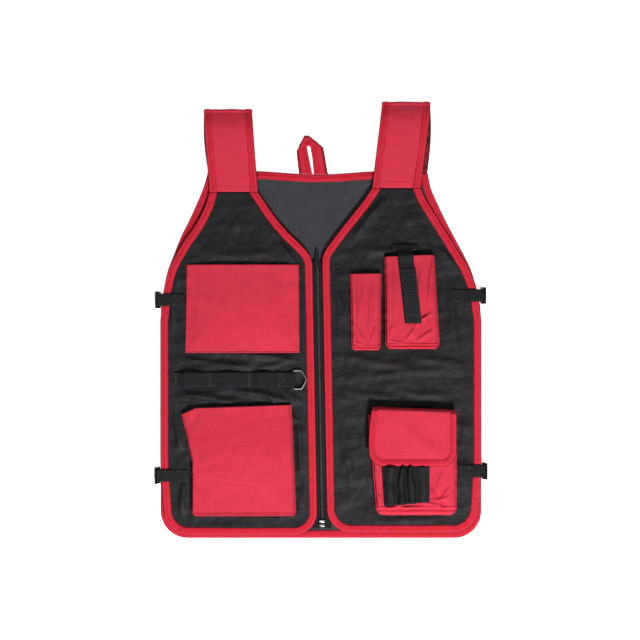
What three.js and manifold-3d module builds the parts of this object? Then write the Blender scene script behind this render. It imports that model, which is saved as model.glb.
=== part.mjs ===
// A sleeveless work vest for tools, lying on its back on a flat surface, front side up.
// Millimetres. X runs across the vest, to the right of someone looking down at it. Y runs from
// the hem to the shoulders. Z is up. The origin is below the middle of the vest, on the surface.
// Every cloth piece is a wall of its own, with a small gap to the pieces that it is sewn to.

import * as THREE from "three";
import Module from "manifold-3d";
import { mergeVertices } from "three/addons/utils/BufferGeometryUtils.js";

const wasm = await Module();
wasm.setup();

// Overall size
const VEST_LENGTH = 699; // hem to the fold of the higher shoulder strap
const CHEST_WIDTH = 514; // across the body, over the binding

// Cloth, tape and webbing
const CLOTH = 1.4; // panel and strap cloth
const POCKET_CLOTH = 1.2;
const TAPE = 1.0; // one wall of the binding
const TAPE_WIDTH = 11; // binding seen from above
const EASE = 0.4; // between the binding and the cloth edge inside it
const LAYER_GAP = 0.4; // between layers that lie on each other
const SEAM_GAP = 0.4; // between two edges that are sewn end to end
const WEB = 1.2; // thickness of the webbing
const BODY_GAP = 2; // between the back binding and the front binding above it

// Body outline
const FRONT_CORNER = 37; // radius of the corners at the front hem
const BACK_CORNER = 42; // radius of the corners at the back hem
const FRONT_HEM_UP = { left: 5, right: 9 }; // the front hems lie this far above the back hem
const FRONT_TAPER = 7; // each front is this much narrower at its hem
const TAPER_UP = 0.2; // share of the length over which it narrows
const ARMHOLE_UP = 0.498; // where the side turns into the armhole, as a share of the length
const BACK_NECK_UP = 0.841; // straight ends of the back neck
const BACK_NECK_DIP = 5; // how far the middle of the back neck hangs below its ends
const ZIP_GAP = 15; // between the two front bindings
const ZIP_TOP_UP = 0.626; // where the two fronts part
const ZIP_LEAN = { hem: 2.4, top: -5.9 }; // the zip runs a little aslant

// Shoulder straps
const STRAP_WIDTH = 78; // over the binding
const STRAPS = {
  left: { seamX: -0.5436, seamUp: 0.793, topX: -0.578, topUp: 0.983, backX: -0.5517, backLean: -3 },
  right: { seamX: 0.4689, seamUp: 0.802, topX: 0.531, topUp: 1, backX: 0.513, backLean: 3 },
};
const SHOULDER_RISE = 1.2; // the front lies this much higher at the straps than at the hem
const STRAP_LIFT = 0.3; // the straps' back legs lie this much higher than the back

// From the full chest (0) to the strap's outer edge (1), by the way up the armhole
const FRONT_ARMHOLE = [
  { up: 0, left: 0, right: 0 },
  { up: 0.16, left: 0.043, right: 0.05 },
  { up: 0.3, left: 0.1, right: 0.13 },
  { up: 0.41, left: 0.185, right: 0.235 },
  { up: 0.51, left: 0.32, right: 0.37 },
  { up: 0.62, left: 0.495, right: 0.515 },
  { up: 0.73, left: 0.7, right: 0.67 },
  { up: 0.83, left: 0.845, right: 0.805 },
  { up: 0.92, left: 0.945, right: 0.925 },
  { up: 1, left: 1, right: 1 },
];
const BACK_ARMHOLE = [
  { up: 0, left: 0, right: 0 },
  { up: 0.1, left: 0.015, right: 0.02 },
  { up: 0.21, left: 0.068, right: 0.085 },
  { up: 0.33, left: 0.147, right: 0.18 },
  { up: 0.43, left: 0.265, right: 0.31 },
  { up: 0.56, left: 0.428, right: 0.505 },
  { up: 0.67, left: 0.6, right: 0.665 },
  { up: 0.775, left: 0.751, right: 0.805 },
  { up: 0.88, left: 0.888, right: 0.93 },
  { up: 1, left: 1, right: 1 },
];
// From the zip edge (0) to the strap's inner edge (1), by the way up the neckline
const NECKLINE = [
  { up: 0, left: 0, right: 0 },
  { up: 0.1, left: 0.03, right: 0.01 },
  { up: 0.2, left: 0.12, right: 0.08 },
  { up: 0.3, left: 0.25, right: 0.19 },
  { up: 0.45, left: 0.455, right: 0.365 },
  { up: 0.65, left: 0.68, right: 0.607 },
  { up: 0.85, left: 0.868, right: 0.852 },
  { up: 1, left: 1, right: 1 },
];
// Broad swells of the front cloth. Places and half sizes are shares of the half chest and the length.
const SWELLS = [
  { x: -0.52, up: 0.35, across: 0.47, along: 0.34, height: 3 },
  { x: 0.52, up: 0.35, across: 0.47, along: 0.34, height: 3 },
  { x: -0.5, up: 0, across: 0.4, along: 0.12, height: 3.2 },
  { x: 0.54, up: 0, across: 0.4, along: 0.12, height: 3.2 },
  { x: -0.6, up: 0.43, across: 0.36, along: 0.05, height: 1 },
  { x: -0.16, up: 0.24, across: 0.12, along: 0.09, height: 0.9 },
];

// Pockets. Edges are shares of the half chest at the foot and the mouth, and of the length.
const PATCH_FLANGE = 5; // the flat seam round a pocket
const CHEST_POCKET = {
  foot: { left: -0.845, right: -0.1326, up: 0.4249 },
  mouth: { left: -0.835, right: -0.1382, up: 0.6268 },
  depth: 8,
};
const LOWER_LEFT_POCKET = {
  foot: { left: -0.801, right: -0.153, up: 0.052 },
  mouth: { left: -0.869, right: -0.182, up: 0.298 },
  depth: 14,
  rightRise: 6, // the mouth runs this much higher at its right end
  flareFrom: 0.5,
};
const PEN_POCKET = {
  foot: { left: 0.188, right: 0.3705, up: 0.4305 },
  mouth: { left: 0.1812, right: 0.3755, up: 0.605 },
  depth: 12,
  rightRise: 1,
  sharedSide: "right",
};
const PHONE_POCKET = {
  foot: { left: 0.398, right: 0.7395, up: 0.4335 },
  mouth: { left: 0.394, right: 0.7035, up: 0.6445 },
  depth: 18,
  rightRise: 3,
  sharedSide: "left",
};
const FLAP_POCKET = {
  foot: { left: 0.342, right: 0.8425, up: 0.0545 },
  mouth: { left: 0.291, right: 0.8437, up: 0.284 },
  depth: 16,
  rightRise: 0,
};
const FLAP = { topUp: 0.3025, foldUp: 0.289, tipUp: 0.1675, left: 0.3, right: 0.838, corner: 22, tape: 9 };
const LOOPS = { topUp: 0.1625, footUp: 0.0775, left: 0.375, right: 0.671, height: 8 };
const LOOP_SHARES = [0.28, 0.24, 0.2, 0.28]; // widths of the tool loops, from left to right

// Strap that closes the phone pocket
const PHONE_STRAP = { width: 25, topX: 0.517, footX: 0.567, anchorUp: 0.6655, footUp: 0.492 };
const ANCHOR = { width: 42, length: 10 };

// Belt webbing and its D ring
const BELT = { width: 25, left: -0.914, right: -0.1587, up: 0.3633, returnLength: 26 };
const BELT_TACKS = [0, 0.3, 0.63, 0.9]; // where the belt is sewn down, as shares of its length
const BELT_LIFT = 7.5; // how high the belt arches between its tacks
const RING = { wire: 3.4, inside: 26, reach: 20, shoulder: 13, tip: 6 };
const RING_EASE = 0.5; // between the ring's bar and the webbing round it

// Zip
const ZIP_TAPE = { width: 13, thickness: 1, below: 4.5, above: 3 };
const CHAIN = { width: 5.6, height: 1.8, core: 1.6 };
const SLIDER = { width: 9.6, length: 12, plate: 1.2, post: 1.1, up: 0.6265 };
const LUG = { width: 1.6, length: 8, wall: 1.1, gap: 3.2 };
const PULL = { width: 6, length: 23, thickness: 1.4, pin: 0.8, window: 6, hole: 1.5, lean: 7 };
const PULL_EASE = 0.5; // between the pull and the slider's lug
const RETAINER = { width: 9.6, length: 14, height: 4, up: 0.0335 };

// Side straps: the front end, the webbing's middle line and the buckle, one row for each strap
const SIDE_WEB = 20;
const SIDE_STRAPS = [
  { name: "upper_left", side: "left", up: 0.546, frontIn: 33, backIn: 34 },
  { name: "upper_right", side: "right", up: 0.556, frontIn: 40, backIn: 34 },
  { name: "lower_left", side: "left", up: 0.1445, frontIn: 43, backIn: 34 },
  { name: "lower_right", side: "right", up: 0.1545, frontIn: 33, backIn: 34 },
];
const BUCKLE = { length: 27, width: 19, thickness: 3, bar: 3, tilt: 72 };
const BUCKLE_EASE = 0.5; // between the webbing and the buckle's bars

// Hanging loop at the neck
const HANG_LOOP = { x: -0.05, width: 46, length: 57, tape: 19.5, slit: 6.6, lean: -5 };

const HALF_CHEST = CHEST_WIDTH / 2;
const HEM_Y = -VEST_LENGTH / 2;
const INSET = TAPE + EASE; // from the binding's outer face to the cloth edge inside it
const BACK_Z = INSET; // underside of the back cloth in its binding
const FRONT_Z = BACK_Z + CLOTH + INSET + BODY_GAP + INSET; // underside of the front cloth at its edges
const FLAT_BAND = TAPE_WIDTH + 3; // cloth stays flat this far in from its edge
const SIGN = { left: -1, right: 1 };

const vector = (x, y, z) => new THREE.Vector3(x, y, z);
const xOf = (share) => share * HALF_CHEST;
const yOf = (up) => HEM_Y + up * VEST_LENGTH;
const mix = (a, b, t) => a + (b - a) * t;
const clamp01 = (t) => Math.min(1, Math.max(0, t));
const smooth = (t) => clamp01(t) ** 2 * (3 - 2 * clamp01(t));
const steps = (count) => Array.from({ length: count + 1 }, (_, i) => i / count);

// A smooth curve through one column of a table, read by its column "up".
function column(table, name) {
  const slope = (i) => {
    const low = table[Math.max(0, i - 1)];
    const high = table[Math.min(table.length - 1, i + 1)];
    return (high[name] - low[name]) / (high.up - low.up);
  };
  return (up) => {
    const t = clamp01(up);
    const i = Math.max(0, table.findLastIndex((row, n) => row.up <= t && n < table.length - 1));
    const span = table[i + 1].up - table[i].up;
    const s = (t - table[i].up) / span;
    const [a, b] = [table[i][name], table[i + 1][name]];
    const rise = slope(i) * span * s * (1 - s) ** 2 - slope(i + 1) * span * s * s * (1 - s);
    return mix(a, b, s * s * (3 - 2 * s)) + rise;
  };
}

// Closed solid from points and faces, turned so that its faces point out.
function solid(points, faces) {
  let volume = 0;
  for (let i = 0; i < faces.length; i += 3) {
    const [a, b, c] = [points[faces[i]], points[faces[i + 1]], points[faces[i + 2]]];
    volume += a.dot(b.clone().cross(c));
  }
  const index = volume < 0 ? faces.slice().reverse() : faces;
  return new THREE.BufferGeometry().setFromPoints(points).setIndex(index);
}

// The wall between two grids of points that have the same rows and columns.
function wallBetween(outer, inner) {
  const rows = outer.length;
  const columns = outer[0].length;
  const at = (side, row, place) => (side * rows + row) * columns + place;
  const faces = [];
  const quad = (a, b, c, d) => faces.push(a, b, c, a, c, d);
  for (let r = 0; r + 1 < rows; r++) {
    for (let c = 0; c + 1 < columns; c++) {
      quad(at(0, r, c), at(0, r, c + 1), at(0, r + 1, c + 1), at(0, r + 1, c));
      quad(at(1, r, c), at(1, r + 1, c), at(1, r + 1, c + 1), at(1, r, c + 1));
    }
    quad(at(0, r, 0), at(0, r + 1, 0), at(1, r + 1, 0), at(1, r, 0));
    quad(at(0, r + 1, columns - 1), at(0, r, columns - 1), at(1, r, columns - 1), at(1, r + 1, columns - 1));
  }
  for (let c = 0; c + 1 < columns; c++) {
    quad(at(0, 0, c + 1), at(0, 0, c), at(1, 0, c), at(1, 0, c + 1));
    quad(at(0, rows - 1, c), at(0, rows - 1, c + 1), at(1, rows - 1, c + 1), at(1, rows - 1, c));
  }
  return solid([...outer.flat(), ...inner.flat()], faces);
}

// The normal of a grid at each point, long enough to keep a wall's thickness round a bend.
function gridNormals(grid) {
  const rows = grid.length;
  const columns = grid[0].length;
  const face = (r, c) => {
    const [a, b, d, e] = [grid[r][c], grid[r][c + 1], grid[r + 1][c], grid[r + 1][c + 1]];
    return e.clone().sub(a).cross(d.clone().sub(b)).normalize();
  };
  return grid.map((line, r) =>
    line.map((_, c) => {
      const near = [];
      for (const i of [r - 1, r])
        for (const j of [c - 1, c])
          if (i >= 0 && j >= 0 && i + 1 < rows && j + 1 < columns) near.push(face(i, j));
      const sum = near.reduce((total, n) => total.add(n), vector(0, 0, 0)).normalize();
      const least = Math.min(...near.map((n) => n.dot(sum)));
      return sum.divideScalar(Math.max(least, 0.6));
    }),
  );
}

// Cloth of one thickness whose underside is the grid. The grid's normals point to its face.
function cloth(grid, thickness) {
  const normals = gridNormals(grid);
  const face = grid.map((line, r) => line.map((p, c) => p.clone().addScaledVector(normals[r][c], thickness)));
  return wallBetween(face, grid);
}

// Height of the front cloth's underside.
function frontHeight(x, y) {
  const up = (y - HEM_Y) / VEST_LENGTH;
  let z = FRONT_Z + SHOULDER_RISE * smooth((up - ARMHOLE_UP) / (STRAPS.left.seamUp - ARMHOLE_UP));
  for (const swell of SWELLS) {
    const far = ((x / HALF_CHEST - swell.x) / swell.across) ** 2 + ((up - swell.up) / swell.along) ** 2;
    z += far < 1 ? swell.height * (1 - far) ** 2 : 0;
  }
  return z;
}

const frontTop = (x, y) => frontHeight(x, y) + CLOTH + LAYER_GAP;

const zipX = (y) => mix(ZIP_LEAN.hem, ZIP_LEAN.top, (y - HEM_Y) / (VEST_LENGTH * ZIP_TOP_UP));
const strapEdgeX = (centre, outward) => centre + outward * (STRAP_WIDTH / 2 - INSET);

// How far a rounded corner draws an edge in, at a height above the hem.
const cornerDraw = (above, radius) =>
  above >= radius ? 0 : radius - Math.sqrt(Math.max(0, radius ** 2 - (radius - above) ** 2));

// Edges of a front cloth at one height, and the whole outline in rows from the hem up.
function frontOutline(side) {
  const sign = SIGN[side];
  const strap = STRAPS[side];
  const armhole = column(FRONT_ARMHOLE, side);
  const neckline = column(NECKLINE, side);
  const hemY = HEM_Y + FRONT_HEM_UP[side] + INSET;
  const topY = yOf(strap.seamUp);
  const chestX = sign * (HALF_CHEST - INSET);
  const outerAt = (y) => {
    const up = (y - HEM_Y) / VEST_LENGTH;
    const taper = sign * FRONT_TAPER * smooth((TAPER_UP - up) / TAPER_UP);
    const armX = strapEdgeX(xOf(strap.seamX), sign);
    const t = (up - ARMHOLE_UP) / (strap.seamUp - ARMHOLE_UP);
    return mix(chestX - taper, armX, armhole(t)) - sign * cornerDraw(y - hemY, FRONT_CORNER);
  };
  const innerAt = (y) => {
    const zipEdge = zipX(Math.min(y, yOf(ZIP_TOP_UP))) + sign * (ZIP_GAP / 2 + INSET);
    const neckX = strapEdgeX(xOf(strap.seamX), -sign);
    const t = ((y - HEM_Y) / VEST_LENGTH - ZIP_TOP_UP) / (strap.seamUp - ZIP_TOP_UP);
    return mix(zipEdge, neckX, neckline(t)) + sign * cornerDraw(y - hemY, FRONT_CORNER);
  };
  const corner = [0, 22.5, 45, 67.5].map((a) => hemY + FRONT_CORNER * (1 - Math.cos(THREE.MathUtils.degToRad(a))));
  const body = steps(8).map((t) => mix(hemY + FRONT_CORNER, yOf(ARMHOLE_UP), t));
  const chest = steps(3).slice(1).map((t) => mix(yOf(ARMHOLE_UP), yOf(ZIP_TOP_UP - 0.01), t));
  const yoke = steps(8).slice(1).map((t) => mix(yOf(ZIP_TOP_UP - 0.01), topY, t));
  return { outerAt, innerAt, rows: [...corner, ...body, ...chest, ...yoke] };
}

// Edges of the back cloth, with the neck's dip along its top.
function backOutline() {
  const hemY = HEM_Y + INSET;
  const edgeAt = (side) => {
    const sign = SIGN[side];
    const armhole = column(BACK_ARMHOLE, side);
    const armX = strapEdgeX(xOf(STRAPS[side].backX), sign);
    return (y) => {
      const t = ((y - HEM_Y) / VEST_LENGTH - ARMHOLE_UP) / (BACK_NECK_UP - ARMHOLE_UP);
      return mix(sign * (HALF_CHEST - INSET), armX, armhole(t)) - sign * cornerDraw(y - hemY, BACK_CORNER);
    };
  };
  const corner = [0, 22.5, 45, 67.5].map((a) => hemY + BACK_CORNER * (1 - Math.cos(THREE.MathUtils.degToRad(a))));
  const body = steps(6).map((t) => mix(hemY + BACK_CORNER, yOf(ARMHOLE_UP), t));
  const yoke = steps(9).slice(1).map((t) => mix(yOf(ARMHOLE_UP), yOf(BACK_NECK_UP) - FLAT_BAND, t));
  return { leftAt: edgeAt("left"), rightAt: edgeAt("right"), rows: [...corner, ...body, ...yoke] };
}

const neckEnds = {
  left: strapEdgeX(xOf(STRAPS.left.backX), 1) + INSET,
  right: strapEdgeX(xOf(STRAPS.right.backX), -1) - INSET,
};

// The top edge of the back cloth: straight under the straps, dipping between them.
function backNeckY(x) {
  const middle = (neckEnds.left + neckEnds.right) / 2;
  const t = clamp01(Math.abs(x - middle) / ((neckEnds.right - neckEnds.left) / 2));
  return yOf(BACK_NECK_UP) - INSET - BACK_NECK_DIP * (1 - t ** 2) ** 2;
}

const back = backOutline();

// Height of the back cloth's underside: on the surface, and lifted into its binding at the edges.
function backHeight(x, y) {
  const slope = (edge) => (edge(y + 1) - edge(y - 1)) / 2;
  const inFrom = (edge) => Math.abs(x - edge(y)) / Math.hypot(1, slope(edge));
  const inside = Math.min(inFrom(back.leftAt), inFrom(back.rightAt), y - back.rows[0], backNeckY(x) - y);
  return BACK_Z * (1 - smooth((inside - FLAT_BAND) / FLAT_BAND));
}

// Grid of a panel in rows. Bands are ways in from the edges at which it has columns of its own.
function panelGrid(rows, startAt, endAt, bands, inside, heightAt) {
  return rows.map((y) => {
    const [start, end] = [startAt(y), endAt(y)];
    const aslant = (edge) => Math.hypot(1, (edge(y + 1) - edge(y - 1)) / 2) / Math.abs(end - start);
    const nearStart = bands.map((band, i) => Math.min(band * aslant(startAt), 0.15 * (i + 1)));
    const nearEnd = bands.map((band, i) => 1 - Math.min(band * aslant(endAt), 0.15 * (i + 1))).reverse();
    const middle = steps(inside).slice(1, -1).map((t) => mix(nearStart.at(-1), nearEnd[0], t));
    const places = [0, ...nearStart, ...middle, ...nearEnd, 1];
    return places.map((t) => vector(mix(start, end, t), y, heightAt(mix(start, end, t), y)));
  });
}

function frontPanel(side) {
  const { outerAt, innerAt, rows } = frontOutline(side);
  const [startAt, endAt] = side === "left" ? [outerAt, innerAt] : [innerAt, outerAt];
  const grid = panelGrid(rows, startAt, endAt, [FLAT_BAND], 5, frontHeight);
  return cloth(grid, CLOTH);
}

// The cloth edge between the straps, which the neck's binding follows.
const neckLine = steps(6).map((t) => {
  const x = mix(neckEnds.left, neckEnds.right, t);
  return vector(x, backNeckY(x), BACK_Z);
});

function backPanel() {
  const grid = panelGrid(back.rows, back.leftAt, back.rightAt, [FLAT_BAND, 2 * FLAT_BAND], 6, backHeight);
  const y = yOf(BACK_NECK_UP) - INSET;
  const under = (edgeX, end) => [0, 0.5].map((t) => vector(mix(edgeX, end.x, t), y, BACK_Z));
  const left = under(back.leftAt(y), neckLine[0]);
  const right = under(back.rightAt(y), neckLine.at(-1)).reverse();
  return cloth([...grid, [...left, ...neckLine, ...right]], CLOTH);
}

// Binding: tape folded round a cloth edge. Each station has the edge point on the cloth's
// underside, the way in over the cloth, the way up through it, and the height at the tape's lip.
function binding(stations, width, thickness) {
  const section = (into, low, high, edge) => [
    { into, up: low },
    { into: edge, up: low },
    { into: edge, up: high },
    { into, up: high },
  ];
  const ring = (station, shape) =>
    shape.map(({ into, up }) => {
      const p = station.edge.clone().addScaledVector(station.inward, into).addScaledVector(station.up, up);
      if (station.lipRise && into > 0) p.addScaledVector(station.up, station.lipRise);
      return p;
    });
  const outside = section(width, -INSET, thickness + INSET, -INSET);
  const inside = section(width, -EASE, thickness + EASE, -EASE);
  return wallBetween(stations.map((s) => ring(s, outside)), stations.map((s) => ring(s, inside)));
}

// Stations along an edge seen from above, with mitred turns, on a surface of the given height.
// The two ends are cut square to the axis named.
function stationsOnSurface(points, inwardSign, heightAt, width, endAxis) {
  return points.map((p, i) => {
    const before = points[Math.max(0, i - 1)];
    const after = points[Math.min(points.length - 1, i + 1)];
    const a = p.clone().sub(before).setZ(0);
    const b = after.clone().sub(p).setZ(0);
    if (a.length() === 0) a.copy(b);
    if (b.length() === 0) b.copy(a);
    const along = a.normalize().add(b.normalize()).normalize();
    const inward = vector(-along.y, along.x, 0).multiplyScalar(inwardSign / Math.max(0.7, along.dot(b)));
    if (i === 0 || i === points.length - 1) {
      const reach = 1 / inward[endAxis];
      inward.set(0, 0, 0)[endAxis] = reach;
    }
    const lip = p.clone().addScaledVector(inward, width);
    return { edge: p, inward, up: vector(0, 0, 1), lipRise: heightAt(lip.x, lip.y) - p.z };
  });
}

// Cuts the ends of a run of points back by a length.
function trimmed(points, startCut, endCut) {
  const cut = (from, to, length) => from.clone().addScaledVector(to.clone().sub(from).normalize(), length);
  const out = points.slice();
  out[0] = cut(points[0], points[1], startCut);
  out[out.length - 1] = cut(points.at(-1), points.at(-2), endCut);
  return out;
}

// Down the neckline and the zip edge, along the hem, and up the side and the armhole.
function frontBinding(side) {
  const { outerAt, innerAt, rows } = frontOutline(side);
  const onCloth = (x, y) => vector(x, y, frontHeight(x, y));
  const down = rows.slice().reverse().map((y) => onCloth(innerAt(y), y));
  const hem = steps(5).slice(1, -1).map((t) => onCloth(mix(innerAt(rows[0]), outerAt(rows[0]), t), rows[0]));
  const up = rows.map((y) => onCloth(outerAt(y), y));
  const points = trimmed([...down, ...hem, ...up], SEAM_GAP / 2, SEAM_GAP / 2);
  return binding(stationsOnSurface(points, SIGN[side], frontHeight, TAPE_WIDTH, "x"), TAPE_WIDTH, CLOTH);
}

// One stretch of the back binding: an edge of the back between two rows, or the hem.
function backBinding(points, inwardSign, endAxis) {
  const cut = trimmed(points, SEAM_GAP / 2, SEAM_GAP / 2);
  return binding(stationsOnSurface(cut, inwardSign, () => BACK_Z, TAPE_WIDTH, endAxis), TAPE_WIDTH, CLOTH);
}

const hemJoinY = HEM_Y + INSET + BACK_CORNER * 1.3; // where the hem's binding meets the sides

function backSideBinding(side) {
  const edgeAt = side === "left" ? back.leftAt : back.rightAt;
  const topY = yOf(BACK_NECK_UP) - INSET;
  const heights = [hemJoinY, ...back.rows.slice(5), topY];
  return backBinding(heights.map((y) => vector(edgeAt(y), y, BACK_Z)), SIGN[side], "x");
}

function hemBinding() {
  const corner = [...back.rows.slice(0, 5), hemJoinY];
  const left = corner.slice().reverse().map((y) => vector(back.leftAt(y), y, BACK_Z));
  const right = corner.map((y) => vector(back.rightAt(y), y, BACK_Z));
  return backBinding([...left, ...right], 1, "x");
}

function neckBinding() {
  return backBinding(neckLine, -1, "y");
}

// The strap's run from the front seam over the fold to the back seam. Each stop has the middle
// of the strap's underside and its outward normal.
function strapRun(side) {
  const strap = STRAPS[side];
  const backTop = BACK_Z + STRAP_LIFT + CLOTH;
  const radius = (FRONT_Z + SHOULDER_RISE - backTop) / 2;
  const foldZ = backTop + radius;
  const foldY = yOf(strap.topUp) - INSET - CLOTH - radius;
  const start = yOf(strap.seamUp) + SEAM_GAP;
  const end = yOf(BACK_NECK_UP) - INSET + SEAM_GAP;
  const frontX = (y) => mix(xOf(strap.seamX), xOf(strap.topX), (y - start) / (foldY - start));
  const lean = (y) => strap.backLean * Math.sin(Math.PI * clamp01((y - end) / (foldY - end)));
  const backXAt = (y) => mix(xOf(strap.backX), xOf(strap.topX), (y - end) / (foldY - end)) + lean(y);
  const frontLeg = steps(4).map((t) => {
    const y = mix(start, foldY, t);
    return { point: vector(frontX(y), y, frontHeight(frontX(y), y)), up: vector(0, 0, 1) };
  });
  const fold = steps(5).slice(1, -1).map((t) => {
    const up = vector(0, Math.sin(Math.PI * t), Math.cos(Math.PI * t));
    return { point: vector(xOf(strap.topX), foldY, foldZ).addScaledVector(up, radius), up };
  });
  const backLeg = steps(4).map((t) => {
    const y = mix(foldY, end, t);
    return { point: vector(backXAt(y), y, backTop), up: vector(0, 0, -1) };
  });
  return [...frontLeg, ...fold, ...backLeg];
}

function strapCloth(side) {
  const half = STRAP_WIDTH / 2 - INSET;
  const places = [1, 0.35, -0.35, -1].map((t) => t * half);
  const line = (stop, lift) =>
    places.map((x) => stop.point.clone().add(vector(x, 0, 0)).addScaledVector(stop.up, lift));
  const run = strapRun(side);
  return wallBetween(run.map((stop) => line(stop, CLOTH)), run.map((stop) => line(stop, 0)));
}

function strapBinding(side, outward) {
  const half = STRAP_WIDTH / 2 - INSET;
  const stations = strapRun(side).map((stop) => ({
    edge: stop.point.clone().add(vector(outward * half, 0, 0)),
    inward: vector(-outward, 0, 0),
    up: stop.up,
    lipRise: 0,
  }));
  return binding(stations, TAPE_WIDTH, CLOTH);
}

// A pocket's plan. Its left edge is upright at first, and runs to the mouth's corner from a share.
function pocketPlan(pocket) {
  const { foot, mouth, rightRise = 0, flareFrom = 0 } = pocket;
  const flare = (along) => Math.max(along - flareFrom, flareFrom && 0) / (1 - flareFrom);
  const x = (across, along) =>
    mix(
      mix(xOf(foot.left), xOf(mouth.left), flare(along)),
      mix(xOf(foot.right), xOf(mouth.right), along),
      across,
    );
  const y = (across, along) => mix(yOf(foot.up), yOf(mouth.up) + rightRise * across, along);
  return { x, y, width: x(1, 0.5) - x(0, 0.5), length: y(0.5, 1) - y(0.5, 0) };
}

// A patch pocket: flat where it is sewn on, raised inside, open at its mouth.
function patchPocket(pocket) {
  const plan = pocketPlan(pocket);
  const slope = PATCH_FLANGE * 4;
  const across = [0, PATCH_FLANGE / plan.width, slope / plan.width, 0.33, 0.5];
  const along = [0, PATCH_FLANGE / plan.length, slope / plan.length, 0.4, 0.7, 1];
  const places = [...across, ...across.slice(0, -1).reverse().map((t) => 1 - t)];
  const raise = (inFrom) => smooth((inFrom - PATCH_FLANGE) / (slope - PATCH_FLANGE));
  const grid = along.map((v) =>
    places.map((u) => {
      const [x, y] = [plan.x(u, v), plan.y(u, v)];
      const lift = pocket.depth * raise(Math.min(u, 1 - u) * plan.width) * raise(v * plan.length);
      return vector(x, y, frontTop(x, y) + lift);
    }),
  );
  return cloth(grid, POCKET_CLOTH);
}

// A box pocket with side and bottom gussets, open at its mouth. Its section is a seam flange,
// a gusset with a rounded top, and the face.
const BOX_FLANGE = 3;
const SHARED_FLANGE = 1.2; // where two pockets meet
const GUSSET_ROUND = 4;
const GUSSET_LEAN = 1.2;

function boxPocket(pocket) {
  const plan = pocketPlan(pocket);
  const half = (side) => [
    { inset: side === pocket.sharedSide ? -SHARED_FLANGE : -BOX_FLANGE, rise: 0 },
    { inset: 0, rise: 0 },
    { inset: GUSSET_LEAN, rise: 1 - GUSSET_ROUND / pocket.depth },
    { inset: GUSSET_LEAN + GUSSET_ROUND, rise: 1 },
  ];
  const corner = 8;
  const rows = [
    { above: -BOX_FLANGE, rise: 0, draw: 0 },
    { above: 0, rise: 0, draw: corner * 0.35 },
    { above: GUSSET_LEAN, rise: 1 - GUSSET_ROUND / pocket.depth, draw: corner * 0.35 },
    { above: GUSSET_LEAN + GUSSET_ROUND, rise: 1, draw: corner * 0.1 },
    ...[0.2, 0.4, 0.6, 0.8, 1].map((v) => ({ above: v * plan.length, rise: 1, draw: 0 })),
  ];
  const grid = rows.map(({ above, rise, draw }) => {
    const v = above / plan.length;
    const edge = (side, u) =>
      half(side).map((h) => ({ u, shift: -SIGN[side] * (h.inset + draw), rise: h.rise }));
    const middle = [0.3, 0.5, 0.7].map((u) => ({ u, shift: 0, rise: 1 }));
    return [...edge("left", 0), ...middle, ...edge("right", 1).reverse()].map((place) => {
      const x = plan.x(place.u, v) + place.shift;
      const y = plan.y(place.u, v);
      return vector(x, y, frontTop(x, y) + pocket.depth * Math.min(rise, place.rise));
    });
  });
  return cloth(grid, POCKET_CLOTH);
}

// The height of what lies on a pocket's face.
const onPocket = (pocket) => (x, y) => frontTop(x, y) + pocket.depth + POCKET_CLOTH + LAYER_GAP;

// The flap's plan in rows from its top seam to its tip: each row has its height and its edges.
function flapRows() {
  const draw = (above) => cornerDraw(above, FLAP.corner);
  const tip = yOf(FLAP.tipUp) + INSET;
  const fold = yOf(FLAP.foldUp);
  const faceRise = FLAP_POCKET.depth + POCKET_CLOTH + LAYER_GAP + INSET;
  const edge = (y) => ({
    left: xOf(FLAP.left) + INSET + draw(y - tip),
    right: xOf(FLAP.right) - INSET - draw(y - tip),
  });
  const hang = steps(3).map((t) => mix(fold - GUSSET_ROUND, tip + FLAP.corner, t));
  const round = [67.5, 45, 22.5, 0].map((a) => tip + FLAP.corner * (1 - Math.cos(THREE.MathUtils.degToRad(a))));
  return [
    { y: yOf(FLAP.topUp), lift: 0 },
    { y: fold + GUSSET_LEAN * 3, lift: 0.5 },
    { y: fold + GUSSET_LEAN, lift: faceRise - GUSSET_ROUND },
    ...[...hang, ...round].map((y) => ({ y, lift: faceRise })),
  ].map((row) => ({ ...row, ...edge(row.y) }));
}

function flapCloth() {
  const grid = flapRows().map(({ y, lift, left, right }) =>
    steps(6).map((t) => {
      const x = mix(right, left, t);
      return vector(x, y, frontTop(x, y) + lift);
    }),
  );
  return cloth(grid, POCKET_CLOTH);
}

// The tape round the flap's hanging sides and tip.
function flapBinding() {
  const rows = flapRows().slice(3);
  const lift = rows[0].lift;
  const at = (x, y) => vector(x, y, frontTop(x, y) + lift);
  const tip = rows.at(-1);
  const left = rows.map(({ y, left: x }) => at(x, y));
  const across = steps(4).slice(1, -1).map((t) => at(mix(tip.left, tip.right, t), tip.y));
  const right = rows.slice().reverse().map(({ y, right: x }) => at(x, y));
  const heightAt = (x, y) => frontTop(x, y) + lift;
  return binding(stationsOnSurface([...left, ...across, ...right], 1, heightAt, FLAP.tape, "x"), FLAP.tape, POCKET_CLOTH);
}

// Places across the tool loops, each with how far it has gone through its own loop.
function loopPlaces() {
  const places = [{ share: 0, arch: 0 }];
  let start = 0;
  for (const width of LOOP_SHARES) {
    for (const t of [0.12, 0.3, 0.5, 0.7, 0.88, 1]) {
      places.push({ share: start + width * t, arch: t === 1 ? 0 : Math.sin(Math.PI * t) ** 0.7 });
    }
    start += width;
  }
  return places;
}

function toolLoops() {
  const base = onPocket(FLAP_POCKET);
  const grid = steps(3).map((t) => {
    const y = mix(yOf(LOOPS.footUp), yOf(LOOPS.topUp), t);
    return loopPlaces().map(({ share, arch }) => {
      const x = mix(xOf(LOOPS.left), xOf(LOOPS.right), share);
      return vector(x, y, base(x, y) + LOOPS.height * arch);
    });
  });
  return cloth(grid, POCKET_CLOTH);
}

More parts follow.
